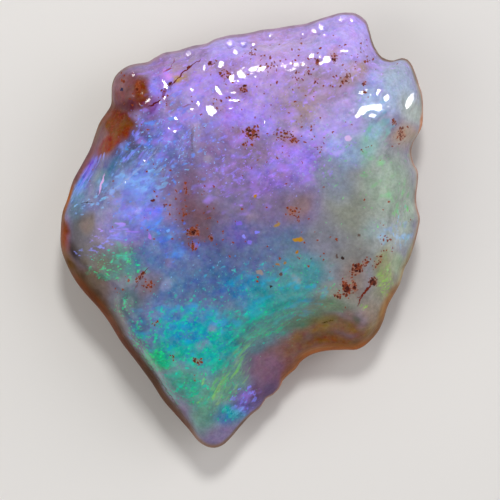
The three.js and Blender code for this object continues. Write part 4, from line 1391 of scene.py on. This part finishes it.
@dataclass(frozen=True)
class OpalFinish:
    """Natural hydrated silica, unpolished but glossy: a milky body with fire under a wet-looking skin.

    Sizes are in mm. A cloud has its size and how far it shifts hue, saturation and lightness. Noise draws
    its values between the two levels of lot, or of cloud_lot for the clouds.
    """

    refraction: float = 1.45
    specular: float = 0.06
    coat_roughness: float = 0.06
    roughness: Pair = (0.25, 0.5)
    stain_roughness: float = 0.3
    side: Pair = (0.6, -0.4)
    gloss_reach: float = 2.0
    dulling: float = 0.95
    scatter: float = 0.2
    scatter_reach: float = 0.5
    scatter_colour: tuple[float, float, float] = (1.0, 0.7, 0.5)
    skin_size: float = 0.4
    skin_depth: float = 0.025
    clouds: tuple[tuple[float, float, float, float], ...] = (
        (1.3, 0.016, 0.1, 0.1), (0.5, 0.014, 0.08, 0.12), (0.2, 0.008, 0.04, 0.1),
    )
    uneven_size: float = 0.3
    uneven_reach: float = 0.09
    lot: Pair = (0.3, 0.7)
    cloud_lot: Pair = (0.25, 0.75)
    fire_hue: Pair = (0.48, 0.52)
    fire_light: Pair = (0.8, 1.25)
    rim_size: float = 1.4
    rim_light: Pair = (0.75, 1.2)
    rim_swing: float = 0.8
    rim_edge: Pair = (1.8, 0.9)
    mark_edge: Pair = (1.4, 0.8)
    face_height: float = 7.8
    rust_look: RustLook = RustLook()

    def build(self) -> bpy.types.Material:
        """Builds the material.

        Returns:
            The material, with its nodes.
        """
        # Precious opal with its natural skin, neither cut nor polished. It gives the eye a wet gloss over a
        # cloudy body, and colour that seems to lie a little way in.
        material = bpy.data.materials.new("unpolished_precious_opal")
        material.use_nodes = True
        tree = material.node_tree
        tree.nodes.clear()
        where = add_node(tree, "ShaderNodeTexCoord").outputs["Object"]
        mm = add_node(tree, "ShaderNodeVectorMath", {0: where, "Scale": 1 / MM},
                      operation="SCALE").outputs[0]
        uneven = add_node(tree, "ShaderNodeTexNoise", {"Vector": mm, "Scale": 1 / self.uneven_size,
                          "Detail": 2.0}).outputs["Color"]
        moved = add_node(tree, "ShaderNodeVectorMath", {0: uneven, 1: (4 * self.uneven_reach,) * 3,
                         2: (-2 * self.uneven_reach,) * 3}, operation="MULTIPLY_ADD").outputs[0]
        fine = add_node(tree, "ShaderNodeVectorMath", {0: mm, 1: moved}, operation="ADD").outputs[0]
        body = add_node(tree, "ShaderNodeAttribute", attribute_name="body").outputs["Color"]
        colour = self.fire(tree, mm, self.shimmer(tree, mm, body))
        inward = add_node(tree, "ShaderNodeAttribute", attribute_name="inward").outputs["Fac"]
        colour = self.rim(tree, mm, colour, inward)
        colour, stain = self.rust(tree, mm, fine, colour)
        colour = self.marks(tree, fine, colour)
        self.shader(tree, mm, colour, inward, stain)
        return material

    def on_face(self, at: Pair) -> Pair:
        """Finds where a point of the drawing lies on the face.

        Args:
            at: The point on the drawing.

        Returns:
            The x and y, in mm, of the point of the face that the camera sees there.
        """
        nearer = (EYE[2] - self.face_height) / (EYE[2] - SHARP_HEIGHT)
        x, y = place(at)
        return EYE[0] + (x - EYE[0]) * nearer, EYE[1] + (y - EYE[1]) * nearer

    def shimmer(self, tree: Tree, mm: Socket, colour: Socket) -> Socket:
        """Clouds and fine grain in the milky body, which shift its hue, depth and lightness.

        Args:
            tree: The material's nodes.
            mm: The place, in mm.
            colour: The colour under them.

        Returns:
            The clouded colour.
        """
        for size, *spreads in self.clouds:
            cloud = add_node(tree, "ShaderNodeTexNoise", {"Vector": mm, "Scale": 1 / size, "Detail": 3.0,
                             "Roughness": 0.6})
            parts = add_node(tree, "ShaderNodeSeparateColor", {0: cloud.outputs["Color"]})
            levels = []
            for part, middle, spread in zip(parts.outputs, NEUTRAL, spreads):
                levels.append(add_node(tree, "ShaderNodeMapRange", {"Value": part, "From Min":
                              self.cloud_lot[0], "From Max": self.cloud_lot[1], "To Min": middle - spread,
                              "To Max": middle + spread}, **SMOOTH).outputs[0])
            colour = add_node(tree, "ShaderNodeHueSaturation", {"Hue": levels[0], "Saturation": levels[1],
                              "Value": levels[2], "Color": colour}).outputs[0]
        return colour

    def fire(self, tree: Tree, mm: Socket, colour: Socket) -> Socket:
        """The play of colour: grains of silica that are lit or not, each in its own shade.

        Args:
            tree: The material's nodes.
            mm: The place, in mm.
            colour: The colour under it.

        Returns:
            The colour with the fire on it.
        """
        for lattice in LATTICES:
            lit = add_node(tree, "ShaderNodeAttribute", attribute_name=lattice.name)
            laid = add_node(tree, "ShaderNodeMapping", {"Vector": mm, "Rotation":
                            (0, 0, math.radians(lattice.lie)), "Scale": (*lattice.grain, lattice.grain[1])},
                            vector_type="TEXTURE").outputs[0]
            strewn = add_node(tree, "ShaderNodeTexNoise", {"Vector": laid, "Scale": 1.0, "Detail": 2.0})
            draws = add_node(tree, "ShaderNodeSeparateColor", {0: strewn.outputs["Color"]}).outputs
            spare = add_node(tree, "ShaderNodeMath", {0: draws[0], 1: lit.outputs["Alpha"]},
                             operation="SUBTRACT").outputs[0]
            share = add_node(tree, "ShaderNodeMapRange", {"Value": spare, "From Min": -lattice.edge / 2,
                             "From Max": lattice.edge / 2, "To Max": lattice.strength}, **SMOOTH).outputs[0]
            hue, light = (
                add_node(tree, "ShaderNodeMapRange", {"Value": draw, "From Min": self.lot[0], "From Max":
                         self.lot[1], "To Min": low, "To Max": high}, **SMOOTH).outputs[0]
                for draw, (low, high) in zip(draws[1:3], (self.fire_hue, self.fire_light)))
            shade = add_node(tree, "ShaderNodeHueSaturation", {"Hue": hue, "Value": light,
                             "Color": lit.outputs["Color"]}).outputs[0]
            colour = add_node(tree, "ShaderNodeMix", {MIX_SHARE: share, MIX_BELOW: colour,
                              MIX_ABOVE: shade}, data_type="RGBA").outputs[MIX_OUT]
        return colour

    def rim(self, tree: Tree, mm: Socket, colour: Socket, inward: Socket) -> Socket:
        """The plain potch inside the rim, and the amber line on it, which goes on over sides and back. Both
        are partly painted shade, and the amber partly a painted glow of light through the thin edge.

        Args:
            tree: The material's nodes.
            mm: The place, in mm.
            colour: The colour under them.
            inward: How far in from the outline the place is, in mm.

        Returns:
            The colour with both on it.
        """
        uneven = add_node(tree, "ShaderNodeTexNoise", {"Vector": mm, "Scale": 1 / self.rim_size,
                          "Detail": 4.0, "Roughness": 0.6, "Distortion": 1.0}).outputs[0]
        light = add_node(tree, "ShaderNodeMapRange", {"Value": uneven, "From Min": self.lot[0], "From Max":
                         self.lot[1], "To Min": self.rim_light[0], "To Max": self.rim_light[1]},
                         **SMOOTH).outputs[0]
        # The potch holds painted shade at the rim, and the amber a painted glow of light through the thin edge
        # plus painted shade on the sides.
        for name in ("potch_and_rim_shade", "amber"):
            plain = add_node(tree, "ShaderNodeAttribute", attribute_name=name).outputs["Color"]
            shade = add_node(tree, "ShaderNodeHueSaturation", {"Color": plain, "Value": light}).outputs[0]
            width = add_node(tree, "ShaderNodeAttribute", attribute_name=name + "_width").outputs["Fac"]
            depth = add_node(tree, "ShaderNodeMath", {0: inward, 1: width}, operation="DIVIDE").outputs[0]
            swung = add_node(tree, "ShaderNodeMath", {0: uneven, 1: self.rim_swing, 2: depth},
                             operation="MULTIPLY_ADD")
            share = add_node(tree, "ShaderNodeMapRange", {"Value": swung.outputs[0], "From Min":
                             self.rim_edge[0], "From Max": self.rim_edge[1]}, **SMOOTH).outputs[0]
            colour = add_node(tree, "ShaderNodeMix", {MIX_SHARE: share, MIX_BELOW: colour,
                              MIX_ABOVE: shade}, data_type="RGBA").outputs[MIX_OUT]
        return colour

    def rust(self, tree: Tree, mm: Socket, fine: Socket, colour: Socket) -> tuple[Socket, Socket]:
        """Iron stain in pin holes: a faint halo, fine dots and, where it stands thick, dark blots.

        Args:
            tree: The material's nodes.
            mm: The place, in mm.
            fine: The place with a fine sway.
            colour: The colour under the stain.

        Returns:
            The colour with the stain on it, and the stain's weight.
        """
        look = self.rust_look
        thickness = add_node(tree, "ShaderNodeAttribute", attribute_name="stain").outputs["Fac"]
        grain = add_node(tree, "ShaderNodeTexNoise", {"Vector": mm, "Scale": 1 / look.grain, "Detail": 3.0,
                         "Roughness": 0.6}).outputs[0]
        halo = add_node(tree, "ShaderNodeMath", {0: thickness, 1: grain}, operation="MULTIPLY").outputs[0]
        haze = add_node(tree, "ShaderNodeMapRange", {"Value": halo, "From Min": look.halo[0],
                        "From Max": look.halo[1], "To Max": look.halo_strength}, **SMOOTH).outputs[0]
        colour = add_node(tree, "ShaderNodeMix", {MIX_SHARE: haze, MIX_BELOW: colour,
                          MIX_ABOVE: linear(look.halo_colour)}, data_type="RGBA").outputs[MIX_OUT]
        thick = add_node(tree, "ShaderNodeMath", {0: thickness, 1: look.blot_growth, 2: grain},
                         operation="MULTIPLY_ADD")
        blots = add_node(tree, "ShaderNodeMapRange", {"Value": thick.outputs[0], "From Min": look.blot[0],
                         "From Max": look.blot[1]}, **SMOOTH).outputs[0]
        cells = add_node(tree, "ShaderNodeTexVoronoi", {"Vector": fine, "Scale": 1 / look.dot_spacing},
                         voronoi_dimensions="2D")
        draws = add_node(tree, "ShaderNodeSeparateColor", {0: cells.outputs["Color"]}).outputs
        chance = add_node(tree, "ShaderNodeMath", {0: thickness, 1: look.dot_chance},
                          operation="MULTIPLY").outputs[0]
        lit = add_node(tree, "ShaderNodeMath", {0: chance, 1: draws[0]}, operation="GREATER_THAN").outputs[0]
        least = add_node(tree, "ShaderNodeMath", {0: thickness, 1: look.dot_growth, 2: look.dot_least},
                         operation="MULTIPLY_ADD").outputs[0]
        size = add_node(tree, "ShaderNodeMath", {0: draws[1], 1: look.dot_lot, 2: least},
                        operation="MULTIPLY_ADD").outputs[0]
        inside = add_node(tree, "ShaderNodeMath", {0: size, 1: cells.outputs["Distance"]},
                          operation="SUBTRACT").outputs[0]
        rounded = add_node(tree, "ShaderNodeMapRange", {"Value": inside, "From Min": -look.dot_softness,
                           "From Max": look.dot_softness}, **SMOOTH).outputs[0]
        dots = add_node(tree, "ShaderNodeMath", {0: rounded, 1: lit}, operation="MULTIPLY").outputs[0]
        stain = add_node(tree, "ShaderNodeMath", {0: dots, 1: blots}, operation="MAXIMUM").outputs[0]
        depth = add_node(tree, "ShaderNodeMath", {0: thickness, 1: draws[2]},
                         operation="MULTIPLY").outputs[0]
        shade = add_node(tree, "ShaderNodeMix", {MIX_SHARE: depth, MIX_BELOW: linear(look.thin_colour),
                         MIX_ABOVE: linear(look.thick_colour)}, data_type="RGBA").outputs[MIX_OUT]
        stained = add_node(tree, "ShaderNodeMix", {MIX_SHARE: stain, MIX_BELOW: colour,
                           MIX_ABOVE: shade}, data_type="RGBA").outputs[MIX_OUT]
        return stained, stain

    def marks(self, tree: Tree, fine: Socket, colour: Socket) -> Socket:
        """Healed cracks, scratches and inclusions: thin bowed ellipses.

        Args:
            tree: The material's nodes.
            fine: The place with a fine sway, in mm.
            colour: The colour under them.

        Returns:
            The colour with the marks on it.
        """
        for mark in MARKS:
            x, y = self.on_face(mark.at)
            length, width = mark.half_length * UNIT_MM, mark.half_width * UNIT_MM
            turned = add_node(tree, "ShaderNodeVectorRotate", {"Vector": fine, "Center": (x, y, 0), "Angle":
                              -math.radians(mark.turn)}, rotation_type="Z_AXIS").outputs[0]
            seen = add_node(tree, "ShaderNodeVectorMath", {0: turned, 1: (1 / length, 1 / width, 0),
                            2: (-x / length, -y / width, 0)}, operation="MULTIPLY_ADD").outputs[0]
            if mark.bow:
                along = add_node(tree, "ShaderNodeVectorMath", {0: seen, 1: (1, 0, 0)},
                                 operation="DOT_PRODUCT").outputs["Value"]
                square = add_node(tree, "ShaderNodeMath", {0: along, 1: along},
                                  operation="MULTIPLY").outputs[0]
                bend = add_node(tree, "ShaderNodeVectorMath", {0: (0, mark.bow * length / width, 0),
                                "Scale": square}, operation="SCALE").outputs[0]
                seen = add_node(tree, "ShaderNodeVectorMath", {0: seen, 1: bend}, operation="ADD").outputs[0]
            away = add_node(tree, "ShaderNodeVectorMath", {0: seen}, operation="LENGTH").outputs["Value"]
            share = add_node(tree, "ShaderNodeMapRange", {"Value": away, "From Min": self.mark_edge[0],
                             "From Max": self.mark_edge[1], "To Max": mark.strength}, **SMOOTH).outputs[0]
            colour = add_node(tree, "ShaderNodeMix", {MIX_SHARE: share, MIX_BELOW: colour,
                              MIX_ABOVE: linear(mark.colour)}, data_type="RGBA").outputs[MIX_OUT]
        return colour

    def shader(self, tree: Tree, mm: Socket, colour: Socket, inward: Socket, stain: Socket) -> None:
        """The surface: a glossy silica skin over the milky body, duller on the sides and in the stain.

        Args:
            tree: The material's nodes.
            mm: The place, in mm.
            colour: The colour of the body.
            inward: How far in from the outline the place is, in mm.
            stain: The weight of the iron stain.
        """
        skin = add_node(tree, "ShaderNodeTexNoise", {"Vector": mm, "Scale": 1 / self.skin_size,
                        "Detail": 3.0, "Roughness": 0.5}).outputs[0]
        relief = add_node(tree, "ShaderNodeAttribute", attribute_name="relief").outputs["Fac"]
        bump = add_node(tree, "ShaderNodeBump", {"Height": skin, "Distance": self.skin_depth * MM,
                        "Strength": relief}).outputs[0]
        dull = add_node(tree, "ShaderNodeMapRange", {"Value": inward, "From Min": self.side[0], "From Max":
                        self.side[1], "To Min": self.roughness[0], "To Max": self.roughness[1]},
                        **SMOOTH).outputs[0]
        rough = add_node(tree, "ShaderNodeMath", {0: stain, 1: self.stain_roughness, 2: dull},
                         operation="MULTIPLY_ADD").outputs[0]
        inner = add_node(tree, "ShaderNodeMapRange", {"Value": inward, "From Min": 0.0, "From Max":
                         self.gloss_reach, "To Min": 0.0, "To Max": 1.0}, **SMOOTH).outputs[0]
        stained = add_node(tree, "ShaderNodeAttribute", attribute_name="dull").outputs["Fac"]
        bright = add_node(tree, "ShaderNodeMath", {0: stained, 1: -self.dulling, 2: 1.0},
                          operation="MULTIPLY_ADD").outputs[0]
        gloss = add_node(tree, "ShaderNodeMath", {0: inner, 1: bright}, operation="MULTIPLY").outputs[0]
        surface = add_node(tree, "ShaderNodeBsdfPrincipled", {
            "Base Color": colour, "Roughness": rough, "IOR": self.refraction,
            "Specular IOR Level": self.specular, "Normal": bump, "Coat Weight": gloss,
            "Coat Roughness": self.coat_roughness, "Coat IOR": self.refraction, "Coat Normal": bump,
            "Subsurface Weight": self.scatter, "Subsurface Radius": self.scatter_colour,
            "Subsurface Scale": self.scatter_reach * MM})
        add_node(tree, "ShaderNodeOutputMaterial", {"Surface": surface.outputs[0]})


@dataclass
class OpalStone:
    """The one piece: its form, its fine relief, its colours and its finish."""

    form: StoneForm = field(default_factory=StoneForm)
    relief: FineRelief = FineRelief()
    fields: ColourFields = ColourFields()
    finish: OpalFinish = OpalFinish()

    def build(self) -> bpy.types.Object:
        """Builds and dresses the stone.

        Returns:
            The stone's object, at the origin, riding on the frame.
        """
        mesh = self.form.mesh("opal_stone")
        self.fields.write(mesh)
        stone = bpy.data.objects.new("opal_stone", mesh)
        bpy.context.scene.collection.objects.link(stone)
        self.relief.raise_on(stone, self.finish.build())
        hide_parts("opal")
        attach(stone, "root")
        return stone


@dataclass(frozen=True)
class Softbox:
    """A studio light: where it hangs and how wide it is, in mm, how bright its face is and its colour."""

    name: str
    at: tuple[float, float, float]
    width: float
    brightness: float
    colour: str

    def hang(self, target: Vector) -> None:
        """Hangs the light and turns it to the stone.

        Args:
            target: The point that it faces, in metres.
        """
        lamp = bpy.data.lights.new(self.name, "AREA")
        lamp.shape = "DISK"
        lamp.size = self.width * MM
        # A disk that shines evenly gives its brightness times pi times its area.
        area = math.pi * (self.width * MM / 2) ** 2
        lamp.energy = self.brightness * math.pi * area
        lamp.color = linear(self.colour)[:3]
        light = bpy.data.objects.new(self.name, lamp)
        light.location = Vector(self.at) * MM
        light.rotation_euler = (target - light.location).to_track_quat("-Z", "Y").to_euler()
        bpy.context.scene.collection.objects.link(light)


@dataclass
class Studio:
    """The plain pale floor, the soft lights, the surrounding light and the camera. Lengths are in mm."""

    floor_half: float = 1500
    floor_colour: str = "#e6e4e0"
    floor_roughness: float = 0.9
    air_colour: str = "#f4f4f6"
    air_strength: float = 0.3
    nearest: float = 10
    lights: tuple[Softbox, ...] = (
        Softbox("window", WINDOW, 60, 48, "#ffffff"),
        Softbox("softbox_right", (300, 60, 240), 380, 1.5, "#fbf8ff"),
        Softbox("softbox_left", (-310, -90, 240), 380, 1.5, "#fffaf4"),
    )

    def build(self) -> None:
        """Builds the floor, the lights and the camera."""
        self.floor()
        low, high = CAD_BOX
        for light in self.lights:
            light.hang((low + high) / 2)
        self.air()
        self.camera()
        bpy.context.scene.view_settings.view_transform = "Standard"

    def floor(self) -> None:
        """Lays the floor under the stone."""
        half = self.floor_half * MM
        mesh = bpy.data.meshes.new("floor")
        corners = [(-half, -half, 0), (half, -half, 0), (half, half, 0), (-half, half, 0)]
        mesh.from_pydata(corners, [], [(0, 1, 2, 3)])
        # Uncoated paper, pressed smooth. It is pale and even and has no shine, so it shows only the shadow.
        material = bpy.data.materials.new("pressed_matt_paper")
        material.use_nodes = True
        shader = material.node_tree.nodes["Principled BSDF"]
        shader.inputs["Base Color"].default_value = linear(self.floor_colour)
        shader.inputs["Roughness"].default_value = self.floor_roughness
        mesh.materials.append(material)
        floor = bpy.data.objects.new("floor", mesh)
        bpy.context.scene.collection.objects.link(floor)

    def air(self) -> None:
        """Sets the light that comes from all round."""
        world = bpy.data.worlds.new("pale_studio")
        world.use_nodes = True
        ground = world.node_tree.nodes["Background"]
        ground.inputs["Color"].default_value = linear(self.air_colour)
        ground.inputs["Strength"].default_value = self.air_strength
        bpy.context.scene.world = world

    def camera(self) -> None:
        """Looks straight down on the stone, framed as the photograph is."""
        lens = bpy.data.cameras.new("camera")
        lens.lens = LENS
        lens.sensor_width = SENSOR
        lens.clip_start = self.nearest * MM
        camera = bpy.data.objects.new("camera", lens)
        camera.location = Vector(EYE) * MM
        bpy.context.scene.collection.objects.link(camera)
        bpy.context.scene.camera = camera


def main() -> None:
    """Builds the studio and the stone."""
    logging.basicConfig(level=logging.INFO, format="%(message)s")
    Studio().build()
    LOG.info("studio built")
    stone = OpalStone().build()
    stone.data.calc_loop_triangles()
    LOG.info("%s: %d triangles", stone.name, len(stone.data.loop_triangles))


if __name__ == "__main__":
    main()
